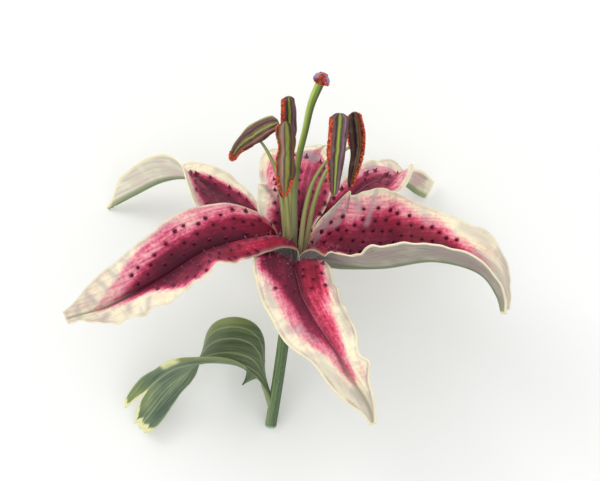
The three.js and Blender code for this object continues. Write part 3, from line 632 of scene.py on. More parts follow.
    # Veins 0.8 mm apart and single cells stand out a little
    fine = add(skin, "Mapping", {"Vector": surface, "Scale": (1.25, 0.04, 1)})
    veins = add(skin, "TexNoise", {"Vector": fine, "Scale": 1, "Detail": 4, "Roughness": 0.6})
    relief = add(skin, "Bump", {"Height": veins, "Strength": 0.35, "Distance": 0.0004})
    relief = add(skin, "Bump", {"Height": flecks, "Normal": relief, "Strength": 0.15, "Distance": 0.0002})
    gloss = add(skin, "MapRange", {0: clouds, 1: 0.3, 2: 0.7, 3: 0.45, 4: 0.6})
    shader = add(skin, "BsdfPrincipled", {
        "Base Color": base, "Roughness": gloss, "Normal": relief, "IOR": 1.42, "Specular IOR Level": 0.3})
    add(skin, "OutputMaterial", {0: shader})
    return skin


# Petal skin, outer face: white with a grey-pink flush, a green keel and close lengthwise veins
def petalOuterSkin():
    skin = newMaterial("petal_skin_outer")
    rib, rim, run, shade = (
        add(skin, "Attribute", output="Fac", attribute_name=name) for name in ("rib", "rim", "run", "shade")
    )
    place = add(skin, "TexCoord", output="Object")
    surface = add(skin, "UVMap")
    stretched = add(skin, "Mapping", {"Vector": surface, "Scale": (0.8, 0.035, 1)})
    streaks = add(skin, "TexNoise", {"Vector": stretched, "Scale": 1, "Detail": 4, "Roughness": 0.6})
    clouds = add(skin, "TexNoise", {"Vector": place, "Scale": 90, "Detail": 2})
    base = add(skin, "ValToRGB", {0: streaks}, stops=[
        (0.3, "#8a837e"), (0.42, "#a89e90"), (0.55, "#cfc4aa"), (0.68, "#b0a493"), (0.8, "#89837e")])
    light = add(skin, "MapRange", {0: clouds, 1: 0.5, 2: 0.3, 3: 0, 4: 0.75},
                interpolation_type="SMOOTHSTEP")
    base = add(skin, "Mix", {0: light, 6: base, 7: colour("#ebe2c8")}, 2, data_type="RGBA")
    flush = add(skin, "MapRange", {0: clouds, 1: 0.46, 2: 0.66, 3: 0, 4: 0.6},
                interpolation_type="SMOOTHSTEP")
    base = add(skin, "Mix", {0: flush, 6: base, 7: colour("#b98d92")}, 2, data_type="RGBA")
    # Painted shade darkens a blade's outer face by its shade number; below 0, painted light brightens it
    dark = add(skin, "MapRange", {0: shade, 1: 0, 2: 1, 3: 0, 4: 1})
    base = add(skin, "Mix", {0: dark, 6: base, 7: colour("#6d655f")}, 2, data_type="RGBA")
    bright = add(skin, "MapRange", {0: shade, 1: 0, 2: -1, 3: 0, 4: 1})
    base = add(skin, "Mix", {0: bright, 6: base, 7: colour("#f6f0dc")}, 2, data_type="RGBA")
    nearRib = add(skin, "MapRange", {0: rib, 1: 0.6, 2: 2.4, 3: 0.9, 4: 0}, interpolation_type="SMOOTHSTEP")
    broken = add(skin, "MapRange", {0: streaks, 1: 0.35, 2: 0.6, 3: 0.7, 4: 1})
    keel = add(skin, "Math", {0: nearRib, 1: broken}, operation="MULTIPLY")
    green = add(skin, "ValToRGB", {0: run}, stops=[
        (0, "#66724a"), (0.4, "#4f6a30"), (0.9, "#4d7324"), (1, "#7f914f")])
    base = add(skin, "Mix", {0: keel, 6: base, 7: green}, 2, data_type="RGBA")
    # Painted shade: towards the throat the outer face darkens to a dull grey-lilac
    throatShade = add(skin, "MapRange", {0: run, 1: 0.16, 2: 0.36, 3: 0.85, 4: 0}, interpolation_type="SMOOTHSTEP")
    dull = add(skin, "ValToRGB", {0: streaks}, stops=[(0.35, "#4f4348"), (0.5, "#776a71"), (0.65, "#93878c")])
    base = add(skin, "Mix", {0: throatShade, 6: base, 7: dull}, 2, data_type="RGBA")
    bead = add(skin, "MapRange", {0: rim, 1: 0.5, 2: 1.5, 3: 0.9, 4: 0}, interpolation_type="SMOOTHSTEP")
    base = add(skin, "Mix", {0: bead, 6: base, 7: colour("#efe5bf")}, 2, data_type="RGBA")
    relief = add(skin, "Bump", {"Height": streaks, "Strength": 0.5, "Distance": 0.0005})
    shader = add(skin, "BsdfPrincipled", {
        "Base Color": base, "Roughness": 0.5, "Normal": relief, "IOR": 1.42, "Sheen Weight": 0.1})
    add(skin, "OutputMaterial", {0: shader})
    return skin


# The cut of the blade at its rim: firm, cream to pale yellow
def petalRimFlesh():
    flesh = newMaterial("petal_rim_flesh")
    place = add(flesh, "TexCoord", output="Object")
    clouds = add(flesh, "TexNoise", {"Vector": place, "Scale": 300, "Detail": 2})
    base = add(flesh, "ValToRGB", {0: clouds}, stops=[(0.35, "#efe3bf"), (0.65, "#f5edd6")])
    shader = add(flesh, "BsdfPrincipled", {"Base Color": base, "Roughness": 0.5, "IOR": 1.42})
    add(flesh, "OutputMaterial", {0: shader})
    return flesh


# Papilla flesh: a wet-looking maroon point, whose pale tip is a painted highlight
def papillaFlesh():
    flesh = newMaterial("papilla_flesh")
    height = add(flesh, "Attribute", output="Fac", attribute_name="height")
    place = add(flesh, "TexCoord", output="Object")
    clouds = add(flesh, "TexNoise", {"Vector": place, "Scale": 500, "Detail": 1})
    base = add(flesh, "ValToRGB", {0: height}, stops=[
        (0, "#7a1f3f"), (0.35, "#5a1230"), (0.8, "#70283f"), (1, "#cf96a4")])
    gloss = add(flesh, "MapRange", {0: clouds, 1: 0.3, 2: 0.7, 3: 0.25, 4: 0.4})
    shader = add(flesh, "BsdfPrincipled", {"Base Color": base, "Roughness": gloss, "IOR": 1.42})
    add(flesh, "OutputMaterial", {0: shader})
    return flesh


# Gives a blade its thickness, from the midrib to the rim, with the three skins
def thickened(piece, shares, thickness, skins):
    thick = piece.vertex_groups.new(name="thick")
    for index, weight in enumerate(shares):
        thick.add([index], float(weight), "REPLACE")
    for skin in skins:
        piece.data.materials.append(skin)
    modify(piece, "SOLIDIFY", thickness=thickness * mm, offset=0, vertex_group="thick", material_offset=1,
           material_offset_rim=2)
    shadeSmooth(piece)


# How far soft strokes over the blade cover each point: u, v are millimetres over the surface
def strokes(marks, u, v, width, length):
    cover = np.zeros_like(u)
    for t0, s0, t1, s1, reach, strength in marks:
        start = np.stack([s0 * width, np.full_like(u, t0 * length)])
        step = np.stack([(s1 - s0) * width, np.full_like(u, (t1 - t0) * length)])
        away = np.stack([u, v]) - start
        share = np.clip((away * step).sum(0) / np.maximum((step * step).sum(0), 1e-9), 0, 1)
        distance = np.linalg.norm(away - step * share, axis=0)
        cover = np.maximum(cover, strength * smooth(reach * 1.9, 0, distance))
    return cover


# Share of the midrib's thickness that the blade keeps at s
def thickShare(s):
    share = petalForm["rim"] / petalForm["midrib"]
    return share + (1 - share) * (1 - np.minimum(np.abs(s) * 1.4, 1))


def buildTepal(name, blade, skins):
    spotT, spotS = papillaSpots(blade)
    feet, inward = bladeSurface(blade, spotT, spotS)[:2]

    def place(s, t):
        return tepalPlace(blade, bladeSurface(blade, t, s)[0])

    piece, s, t = gridPiece("skin_" + name, petalForm["columns"], petalForm["rows"], place)
    points, unused, rib, width, length = bladeSurface(blade, t, s)
    crimson = sided(blade, "crimson", t, s)
    pink = sided(blade, "pink", t, s)
    flush = petalForm["flush"]
    core = smooth(crimson + 0.1, crimson - 0.22, np.abs(s)) * (sided(blade, "depth", t, s) - flush)
    numbers("blush", piece, flush * smooth(pink + 0.14, pink - 0.08, np.abs(s)) + core)
    for mark in ("grey", "dark"):
        numbers(mark, piece, strokes(blade[mark], rib * np.sign(s), t * length, width, length))
    numbers("rib", piece, rib)
    rimPoints = bladeSurface(blade, t, np.where(s < 0, -1, 1))[0]
    numbers("rim", piece, np.minimum(np.linalg.norm(points - rimPoints, axis=1), (1 - t) * length))
    numbers("run", piece, t)
    numbers("red", piece, sided(blade, "red", t, s))
    numbers("hem", piece, np.full_like(t, blade["hem"]))
    numbers("shade", piece, np.full_like(t, blade["shade"]))
    # The skin darkens round the foot of each papilla
    nearest = np.min(np.linalg.norm(points[:, None] - feet[None], axis=2), axis=1)
    numbers("spot", piece, 0.6 * smooth(1.6, 0.6, nearest))
    mapInMillimetres(piece, rib * np.sign(s), t * length)
    thickened(piece, thickShare(s), petalForm["midrib"], skins[:3])
    finishPiece(piece, "tepal", name)

    # One papilla is modelled upright and copied to each spot of the inner face
    model = turnedPiece("papilla", papillae)
    heights = np.array([v.co.z for v in model.data.vertices]) / (papillae["height"] * mm)
    numbers("height", model, np.clip(heights, 0, 1))
    model.data.materials.append(skins[3])
    chosen = random.Random(blade["papillae"]["seed"] + 100)
    outward = unit(feet * np.array([1, 1, 0]))
    stand = tepalPlace(blade, feet + inward * (thickShare(spotS) * petalForm["midrib"] / 2)[:, None])
    lean = directionInPart(blade, unit(inward + papillae["lean"] * outward))
    sizes = [chosen.uniform(*papillae["sizes"]) for unused in feet]
    if "fringe" in blade:
        fringe = blade["fringe"]
        spotT = np.array([chosen.uniform(*fringe["t"]) for unused in range(fringe["count"])])
        spotS = np.array([chosen.uniform(*fringe["s"]) for unused in range(fringe["count"])])
        feet, inward = bladeSurface(blade, spotT, spotS)[:2]
        onFace = feet + inward * (thickShare(spotS) * petalForm["midrib"] / 2)[:, None]
        stand = np.concatenate([stand, tepalPlace(blade, onFace)])
        lean = np.concatenate([lean, directionInPart(blade, inward)])
        sizes += [fringe["size"] * chosen.uniform(0.8, 1.2) for unused in feet]
    copies = [
        copyAt(model, point, way, size, chosen.uniform(0, 6.28))
        for point, way, size in zip(stand, lean, sizes)
    ]
    bpy.data.objects.remove(model)
    finishPiece(joined("papillae_" + name, copies), "tepal")
    print(name, "built with", len(copies), "papillae")


skins = [petalInnerSkin(), petalOuterSkin(), petalRimFlesh(), papillaFlesh()]
for name, blade in tepals.items():
    blade["form"] = petalForm
    buildTepal(name, blade, skins)


# The side of the flower that the camera sees, in the bloom's own axes. base is the place of the bloom's
# base in the picture, in pixels from its left and top.
camera = {"elevation": 82, "distance": 1.4, "lens": 210, "mmPerPixel": 0.4, "base": (289, 299)}
frameSize = (600, 481)
rise = math.radians(camera["elevation"])
backward = np.array([0, -math.cos(rise), math.sin(rise)])
towardsView = backward @ bloomTurn


# Points round a line in the bloom's axes. section(angle, t) gives their distances across and
# forward; forward is the direction towards the view, turned about the line by some degrees.
def roundLine(line, section, angle, t, turn=0):
    centre, tangent, unused = onLine(line, t)
    forward = unit(towardsView - tangent * (tangent @ towardsView)[:, None])
    across = np.cross(tangent, forward)
    spin = math.radians(turn)
    x, y = section(angle, t)
    x, y = x * math.cos(spin) + y * math.sin(spin), y * math.cos(spin) - x * math.sin(spin)
    return inPart(centre + across * x[:, None] + forward * y[:, None])


# A closed tube made that way, with a flat lid at each end, and the angle and t of its points
def tubePiece(name, line, sides, rings, section, turn=0):
    def withoutLids(t):
        return np.clip(t * (1 + 2 / rings) - 1 / rings, 0, 1)

    def place(s, t):
        def closing(angle, run):
            x, y = section(angle, run)
            wall = (t > 0.5 / rings) & (t < 1 - 0.5 / rings)
            return x * wall, y * wall

        return roundLine(line, closing, math.pi * s, withoutLids(t), turn)

    piece, s, t = gridPiece(name, sides, rings, place)
    return piece, math.pi * s, withoutLids(t)


# Filament and style flesh: juicy green stalks, lime on one side and olive on the other, which is
# painted light and shade
def stalkFlesh(name, stops, fixed):
    flesh = newMaterial(name)
    run = add(flesh, "Attribute", output="Fac", attribute_name="run")
    ridge = add(flesh, "Attribute", output="Fac", attribute_name="ridge")
    surface = add(flesh, "UVMap")
    stretched = add(flesh, "Mapping", {"Vector": surface, "Scale": (1.6, 0.06, 1)})
    streaks = add(flesh, "TexNoise", {"Vector": stretched, "Scale": 1, "Detail": 3, "Roughness": 0.6})
    streak = add(flesh, "MapRange", {0: streaks, 1: 0.3, 2: 0.7, 3: -0.16, 4: 0.16})
    tone = add(flesh, "Math", {0: ridge, 1: streak}, operation="ADD", use_clamp=True)
    base = add(flesh, "ValToRGB", {0: tone}, stops=stops)
    # The foot, deep in the throat, is pale and greyish
    foot = add(flesh, "MapRange", {0: run, 1: 0.35, 2: 0.72, 3: 0.75, 4: 0},
               interpolation_type="SMOOTHSTEP")
    base = add(flesh, "Mix", {0: foot, 6: base, 7: colour(fixed["foot"])}, 2, data_type="RGBA")
    relief = add(flesh, "Bump", {"Height": streaks, "Strength": 0.4, "Distance": 0.0003})
    shader = add(flesh, "BsdfPrincipled", {
        "Base Color": base, "Roughness": fixed["roughness"], "Normal": relief, "IOR": 1.42})
    add(flesh, "OutputMaterial", {0: shader})
    return flesh


# Anther wall: purple-brown and golden valves beside a lime ridge, dull like dry leather
def antherWall(name, stops):
    wall = newMaterial(name)
    band = add(wall, "Attribute", output="Fac", attribute_name="band")
    place = add(wall, "TexCoord", output="Object")
    surface = add(wall, "UVMap")
    stretched = add(wall, "Mapping", {"Vector": surface, "Scale": (2.2, 0.12, 1)})
    streaks = add(wall, "TexNoise", {"Vector": stretched, "Scale": 1, "Detail": 4, "Roughness": 0.65})
    broad = add(wall, "Mapping", {"Vector": surface, "Scale": (0.2, 0.12, 1)})
    waves = add(wall, "TexNoise", {"Vector": broad, "Scale": 1, "Detail": 2})
    fine = add(wall, "MapRange", {0: streaks, 1: 0.3, 2: 0.7, 3: -0.015, 4: 0.015})
    shift = add(wall, "MapRange", {0: waves, 1: 0.3, 2: 0.7, 3: -0.03, 4: 0.03})
    where = add(wall, "Math", {0: band, 1: fine}, operation="ADD")
    where = add(wall, "Math", {0: where, 1: shift}, operation="ADD")
    base = add(wall, "ValToRGB", {0: where}, stops=stops)
    tone = add(wall, "MapRange", {0: streaks, 1: 0.35, 2: 0.65, 3: 0, 4: 0.4})
    base = add(wall, "Mix", {0: tone, 6: base, 7: colour("#3a2422")}, 2, data_type="RGBA")
    clouds = add(wall, "TexNoise", {"Vector": place, "Scale": 260, "Detail": 3})
    worn = add(wall, "MapRange", {0: clouds, 1: 0.52, 2: 0.72, 3: 0, 4: 0.25})
    base = add(wall, "Mix", {0: worn, 6: base, 7: colour("#b0948c")}, 2, data_type="RGBA")
    relief = add(wall, "Bump", {"Height": streaks, "Strength": 0.7, "Distance": 0.0004})
    shader = add(wall, "BsdfPrincipled", {
        "Base Color": base, "Roughness": 0.55, "Normal": relief, "IOR": 1.45})
    add(wall, "OutputMaterial", {0: shader})
    return wall


# Pollen: oily orange-red grains that stick together
def pollenGrain():
    grain = newMaterial("pollen_grain")
    place = add(grain, "TexCoord", output="Object")
    clouds = add(grain, "TexNoise", {"Vector": place, "Scale": 900, "Detail": 1})
    base = add(grain, "ValToRGB", {0: clouds}, stops=[(0.3, "#8e2a14"), (0.5, "#c94a22"), (0.7, "#ea7440")])
    shader = add(grain, "BsdfPrincipled", {"Base Color": base, "Roughness": 0.6, "IOR": 1.47})
    add(grain, "OutputMaterial", {0: shader})
    return grain


# Stamens. A filament runs from the receptacle to its anther, whose line runs from its low end to its
# high end. half is the half width, times wide along the line and left and right on the two sides.
# front is the height of the anther's face from its middle line to its edge, turn is how far the face
# looks away from the view, and waves is how wavy the edges are. pollen lies in patches: from and to
# an angle round the line, from and to a share of it, and a number.
closedFace = [0.9, 0.62, 0.82, 0.98, 0.62, 0.95, 1.05, 0.8, 1.0]
openFace = [0.75, 0.6, 0.2, 0.02, 0.0, 0.1, 0.5, 1.2, 1.7]
stamens = [
    {
        "filament": [(-2.25, 1.3, 0), (-4.5, 2.5, 25), (-9, 6, 45), (-12, 8, 53.5), (-18.4, 9.5, 62.8)],
        "anther": [(-30.2, 14, 51.4), (-27.6, 12, 58.7), (-22.8, 9.5, 65.6), (-18.1, 9, 70.4),
                   (-13.2, 9, 73.5)],
        "half": 4,
        "front": closedFace, "turn": -10, "bands": "limeEdged", "waves": 0.05,
        "wide": [0.34, 0.44, 0.56, 0.74, 0.9, 0.99, 1, 0.9, 0.72],
        "left": [1, 1], "right": [1, 1],
        "pollen": [(-180, 180, 0, 0.13, 150), (60, 130, 0.06, 0.32, 100), (85, 130, 0.32, 0.5, 25)],
    },
    {
        "filament": [(-0.2, 2.6, 0), (-1.6, 5, 25), (-5.3, 12, 42), (-7.3, 17, 54), (-8.6, 19.8, 62.3)],
        "anther": [(-8.4, 21.5, 55.5), (-9.2, 22, 66.5), (-10.9, 20, 79.4)],
        "half": 3.1,
        "front": closedFace, "turn": 16, "bands": "purple", "waves": 0.03,
        "wide": [0.4, 0.7, 0.9, 1, 1, 1, 0.98, 0.94, 0.88, 0.8],
        "left": [1, 1], "right": [1, 1],
        "pollen": [(-120, -46, 0.3, 0.98, 230)],
    },
    {
        "filament": [(-0.7, -2.5, 0), (-2.3, -2.2, 22), (-4.6, -7, 42), (-7, -14, 60), (-8.5, -17, 70.4)],
        "anther": [(-6.2, -22, 57.5), (-7.5, -19.5, 72.3), (-9.7, -14, 86)],
        "half": 3.8,
        "front": openFace, "turn": -6, "bands": "golden", "waves": 0.08,
        "wide": [0.15, 0.5, 0.76, 0.92, 1, 0.96, 0.88, 0.94, 1, 0.88, 0.6],
        "left": [1, 1, 1, 1, 0.8, 1, 1], "right": [1, 1],
        "pollen": [(-104, -70, 0.35, 0.96, 110), (-112, -46, 0, 0.32, 100), (44, 112, 0, 0.27, 90)],
    },
    {
        "filament": [(1.6, -2.05, 0), (1.9, -2.6, 22), (2, -6.5, 45), (4.3, -11.5, 62),
                     (9.6, -13.8, 73.1)],
        "anther": [(12.6, -20, 60.3), (11.7, -16, 74.7), (10.7, -10, 90.7)],
        "half": 3.8,
        "front": closedFace, "turn": 8, "bands": "purple", "waves": 0.02,
        "wide": [0.4, 0.52, 0.64, 0.76, 0.88, 0.97, 1, 1, 1, 0.98, 0.9],
        "left": [1, 1], "right": [1, 0.9, 0.9, 1],
        "pollen": [(-118, -48, 0.44, 0.94, 240), (-112, -66, 0.08, 0.44, 70)],
    },
    {
        "filament": [(2.4, 1, 0), (3.7, 2.4, 25), (5.2, 4, 45), (8.5, 7, 57), (15.5, 10.4, 65.8)],
        "anther": [(17.9, 8, 49.4), (18.8, 11, 66.5), (15.9, 10, 81.7)],
        "half": 3,
        "front": openFace, "turn": 6, "bands": "brown", "waves": 0.04,
        "wide": [0.35, 0.58, 0.72, 0.82, 0.9, 0.96, 1, 1, 0.98, 0.92, 0.8],
        "left": [0.8, 0.8, 0.85, 0.9, 1.1, 1.3, 1.25, 1.1], "right": [1, 1],
        "pollen": [(46, 122, 0.28, 0.97, 230), (30, 100, 0.02, 0.28, 60), (-100, -70, 0.5, 0.97, 50)],
    },
    {
        "filament": [(-2.4, -1, 0), (-4.4, -1.5, 25), (-6, -1.8, 45), (-7.6, -0.4, 57)],
        "anther": [(-7.5, -3, 47), (-8.4, -4.2, 61), (-8.4, -2, 74)],
        "half": 2.6,
        "front": closedFace, "turn": 180, "bands": "purple", "waves": 0.03,
        "wide": [0.4, 0.8, 1, 1, 0.9, 0.6],
        "left": [1, 1], "right": [1, 1],
        "pollen": [(-120, -60, 0.1, 0.9, 60)],
    },
]
# Colours across an anther, from its back round one edge, over the middle line at 0.5 and round again.
# The near-black bands are painted shade in grooves, and the lilac band of the golden ones a painted sheen
antherBands = {
    "purple": [(0, "#8d3c22"), (0.14, "#6a3428"), (0.185, "#2a191d"), (0.25, "#6f4c4a"),
               (0.32, "#8f6868"), (0.37, "#2a1b1e"), (0.41, "#4b3a2c"), (0.45, "#8f9b3d"),
               (0.5, "#b6c852"), (0.55, "#82903a"), (0.585, "#281d1d"), (0.63, "#7d5662"),
               (0.7, "#a27888"), (0.755, "#281a1f"), (0.8, "#6a4a4c"), (0.85, "#2e1f25"),
               (0.9, "#6a3428"), (1, "#8d3c22")],
    "golden": [(0, "#8d3c22"), (0.14, "#5a3020"), (0.18, "#22161a"), (0.24, "#8a6440"), (0.31, "#b48a5c"),
               (0.39, "#b8939a"), (0.45, "#6d5630"), (0.49, "#463c20"), (0.53, "#8d9a45"),
               (0.59, "#aab34e"), (0.64, "#696a30"), (0.69, "#281f1b"), (0.75, "#79502f"),
               (0.81, "#5e3c28"), (0.855, "#25181b"), (0.9, "#6a3428"), (1, "#8d3c22")],
    "brown": [(0, "#8d3c22"), (0.14, "#6a3428"), (0.2, "#2a191d"), (0.28, "#6b463c"), (0.36, "#4a2e28"),
              (0.42, "#1f1416"), (0.48, "#3a2620"), (0.53, "#6d6a35"), (0.57, "#5a3826"),
              (0.64, "#9a6242"), (0.7, "#7a452c"), (0.76, "#2e1c18"), (0.82, "#a0522f"),
              (0.88, "#8a3c22"), (1, "#8d3c22")],
    "limeEdged": [(0, "#8d3c22"), (0.12, "#7d5a3a"), (0.16, "#a8b84c"), (0.2, "#8f8a48"),
                  (0.23, "#6b4a40"), (0.31, "#96706a"), (0.36, "#2a1b1e"), (0.4, "#6b4a44"),
                  (0.46, "#95715f"), (0.49, "#382821"), (0.52, "#a9bb48"), (0.57, "#98a742"),
                  (0.6, "#2e221c"), (0.66, "#7a5546"), (0.75, "#9c6f5e"), (0.82, "#4a3028"),
                  (0.88, "#8a4426"), (1, "#8d3c22")],
}
# sink is how far a filament's end goes on into its anther, to a point so many mm behind the anther's line
stamenForm = {
    "radii": [0.8, 1, 0.98, 0.86, 0.5], "length": 60, "sink": 0.7, "behind": 1.8,
    "stalkSides": 20, "stalkRings": 60,
    "depth": 0.72, "face": 0.8, "around": 1.5, "grain": 0.38, "sides": 72, "rings": 110,
}


# Distances of an anther's wall from its line, across and forward: blunt ends, a flatter face
def antherSection(stamen, angle, t):
    blunt = np.minimum(1, np.sin(math.pi * (0.012 + 0.976 * t)) / 0.2) ** 0.5
    swell = stamen["half"] * along(stamen["wide"], t) * blunt
    swell = swell * np.where(np.sin(angle) < 0, along(stamen["left"], t), along(stamen["right"], t))
    swell = swell * (1 + stamen["waves"] * np.sin(17 * t + np.sign(angle) * 2) * np.abs(np.sin(angle)) ** 3)
    x = np.sin(angle)
    height = np.where(np.cos(angle) > 0, along(stamen["front"], np.abs(x)) * stamenForm["face"], 1)
    return swell * x, swell * np.cos(angle) * height * stamenForm["depth"]


def buildStamen(number, stamen, flesh, walls, pollen):
    def stalk(angle, t):
        radius = along(stamenForm["radii"], t)
        return radius * np.sin(angle), radius * np.cos(angle)

    # The filament's end is sunk into the anther, a little behind its middle line
    end = np.array(stamen["filament"][-1])
    middle = onLine(stamen["anther"], np.linspace(0, 1, 101))[0]
    nearest = middle[np.argmin(np.linalg.norm(middle - end, axis=1))]
    inside = nearest - stamenForm["behind"] * towardsView
    line = stamen["filament"] + [tuple(end + stamenForm["sink"] * (inside - end))]
    piece, angle, t = tubePiece("filament_flesh_%d" % number, line, stamenForm["stalkSides"],
                                stamenForm["stalkRings"], stalk)
    numbers("run", piece, t)
    # Painted light: the ridge number is highest on one side of the filament, where it is lime
    numbers("ridge", piece, 0.5 + 0.5 * np.sin(angle + 0.5))
    mapInMillimetres(piece, angle, t * stamenForm["length"])
    sealed(piece)
    piece.data.materials.append(flesh)
    finishPiece(piece, "filament", "filament_%d" % number)

    def section(angle, t):
        return antherSection(stamen, angle, t)

    length = onLine(stamen["anther"], np.array([0.5]))[2]
    piece, angle, t = tubePiece("anther_valves_%d" % number, stamen["anther"], stamenForm["sides"],
                                stamenForm["rings"], section, stamen["turn"])
    x = np.sin(angle)
    behind = 0.5 + np.sign(x) * (0.5 - 0.15 * np.abs(x))
    numbers("band", piece, np.where(np.cos(angle) > 0, 0.5 + 0.35 * x, behind))
    mapInMillimetres(piece, angle * stamenForm["around"], t * length)
    sealed(piece)
    piece.data.materials.append(walls[stamen["bands"]])
    finishPiece(piece, "anther", "anther_%d" % number)

    chosen = random.Random(number)
    marks = []
    for start, stop, low, high, count in stamen["pollen"]:
        for unused in range(count):
            marks.append((math.radians(chosen.uniform(start, stop)), chosen.uniform(low, high)))
    angle, t = np.array(marks).T
    angle = (angle + math.pi) % (2 * math.pi) - math.pi
    points = roundLine(stamen["anther"], section, angle, t, stamen["turn"])
    finishPiece(grains("pollen_%d" % number, points, stamenForm["grain"], chosen, pollen), "anther")


# Small rough grains at the given points, modelled once and copied. Real pollen is about 0.1 mm fine, so
# each grain is a clump of it, coarse enough to show.
def grains(name, points, radius, chosen, material):
    deselect()
    bpy.ops.mesh.primitive_ico_sphere_add(subdivisions=1, radius=radius * mm)
    model = bpy.context.object
    model.data.materials.append(material)
    copies = []
    for point in points:
        direction = unit(np.array([chosen.gauss(0, 1) for unused in range(3)]))
        copies.append(copyAt(model, point, direction, chosen.uniform(0.7, 1.3), 0))
    bpy.data.objects.remove(model)
    piece = joined(name, copies)
    shadeSmooth(piece)
    return piece


filamentFlesh = stalkFlesh(
    "filament_flesh", [(0, "#5d6838"), (0.35, "#8a944f"), (0.65, "#b4bb76"), (1, "#7c8749")],
    {"foot": "#b3ab80", "roughness": 0.42})
walls = {kind: antherWall("anther_wall_" + kind, stops) for kind, stops in antherBands.items()}
pollen = pollenGrain()
for number, stamen in enumerate(stamens, 1):
    buildStamen(number, stamen, filamentFlesh, walls, pollen)
print("stamens built")


# Pistil: the style has three blunt ridges and widens under its three-lobed stigma
pistil = {
    "line": [(0, 0, 0), (-0.2, 0, 12), (-1.4, 0, 30), (-3, 0, 48.2), (-3.1, 0, 64.3), (-2, 0, 76),
             (-0.9, 0, 88), (1.4, 0, 97.6)],
    "radii": [1.4, 1.9, 1.5, 1.25, 1.2, 1.25, 1.4, 1.75], "ridge": 0.07, "ridgeTurn": 0.9,
    "length": 99, "around": 1.6, "sides": 40, "rings": 130,
}
stigma = {
    "radius": 2.8, "height": 4, "sunk": 0.2, "lobe": 0.28, "turn": 62, "sides": 60, "rings": 30,
    "profile": [0.55, 0.82, 1, 1.04, 0.98, 0.8, 0.42], "grain": 0.42, "grains": 80,
}


# Stigma skin: sticky purple lobes
def stigmaSkin():
    skin = newMaterial("stigma_skin")
    lobe = add(skin, "Attribute", output="Fac", attribute_name="lobe")
    place = add(skin, "TexCoord", output="Object")
    clouds = add(skin, "TexNoise", {"Vector": place, "Scale": 600, "Detail": 3})
    change = add(skin, "MapRange", {0: clouds, 1: 0.3, 2: 0.7, 3: -0.2, 4: 0.2})
    tone = add(skin, "Math", {0: lobe, 1: change}, operation="ADD", use_clamp=True)
    base = add(skin, "ValToRGB", {0: tone}, stops=[
        (0, "#6f1f1c"), (0.4, "#8a2f2c"), (0.6, "#6d4668"), (1, "#8f78a8")])
    relief = add(skin, "Bump", {"Height": clouds, "Strength": 0.6, "Distance": 0.0004})
    shader = add(skin, "BsdfPrincipled", {
        "Base Color": base, "Roughness": 0.3, "Normal": relief, "IOR": 1.4, "Coat Weight": 0.3})
    add(skin, "OutputMaterial", {0: shader})
    return skin


def buildPistil():
    def section(angle, t):
        ridges = np.cos(3 * (angle - pistil["ridgeTurn"]))
        radius = along(pistil["radii"], t) * (1 + pistil["ridge"] * ridges)
        return radius * np.sin(angle), radius * np.cos(angle)

    piece, angle, t = tubePiece("style_flesh", pistil["line"], pistil["sides"], pistil["rings"], section)
    numbers("run", piece, t)
    # Painted light: the ridge number is highest on one side of the style, where it is lime
    numbers("ridge", piece, 0.5 - 0.5 * np.sin(angle))
    mapInMillimetres(piece, angle * pistil["around"], t * pistil["length"])
    sealed(piece)
    piece.data.materials.append(stalkFlesh(
        "style_flesh",
        [(0, "#3e4d29"), (0.35, "#647a38"), (0.62, "#8ba348"), (0.85, "#b8c95f"), (1, "#9cb04e")],
        {"foot": "#a19f80", "roughness": 0.38}))
    finishPiece(piece, "pistil", "pistil")

    top, end, unused = onLine(pistil["line"], np.array([1.0]))
    line = [tuple(top[0] - end[0] * stigma["sunk"]), tuple(top[0] + end[0] * stigma["height"])]

    def head(angle, t):
        share = along(stigma["profile"], t)
        radius = stigma["radius"] * share * (1 + stigma["lobe"] * np.cos(3 * angle))
        return radius * np.sin(angle), radius * np.cos(angle)

    piece, angle, t = tubePiece("stigma_lobes", line, stigma["sides"], stigma["rings"], head, stigma["turn"])
    numbers("lobe", piece, smooth(0.1, 0.9, np.cos(3 * angle)) * smooth(0.25, 0.6, t))
    sealed(piece)
    piece.data.materials.append(stigmaSkin())
    finishPiece(piece, "stigma", "stigma")

    # Grains cling to the furrows between the lobes
    chosen = random.Random(77)
    corners = [v.co.copy() / mm for v in piece.data.vertices]
    shares = [a.value for a in piece.data.attributes["lobe"].data]
    places = [c for c, share in zip(corners, shares) if share < 0.25 and chosen.random() < 0.5]
    chosen.shuffle(places)
    caught = grains("pollen_stigma", places[: stigma["grains"]], stigma["grain"], chosen, pollen)
    finishPiece(caught, "stigma")


buildPistil()
print("pistil built")


# Stem: cut below the leaf, it widens into the receptacle that the whole bloom stands on, which is
# given by its heights and radii. fibreShare is how far the pale cut frays up it, as a share of t.
stem = {
    "line": [(-0.9, -1.2, -59.83), (-0.3, 0, -38), (0, 0, -9), (0, 0, 0.2)],
    "radius": 2.3, "ridges": 9, "ridge": 0.035, "sides": 72, "rings": 150,
    "fibres": 60, "fibreShare": 0.012,
    "receptacle": [(-9, 2.3), (-6.6, 2.6), (-5, 3.2), (-3.8, 4), (-2.6, 5), (-1.6, 6.4), (-0.9, 7.4),
                   (-0.3, 7.8)],
}
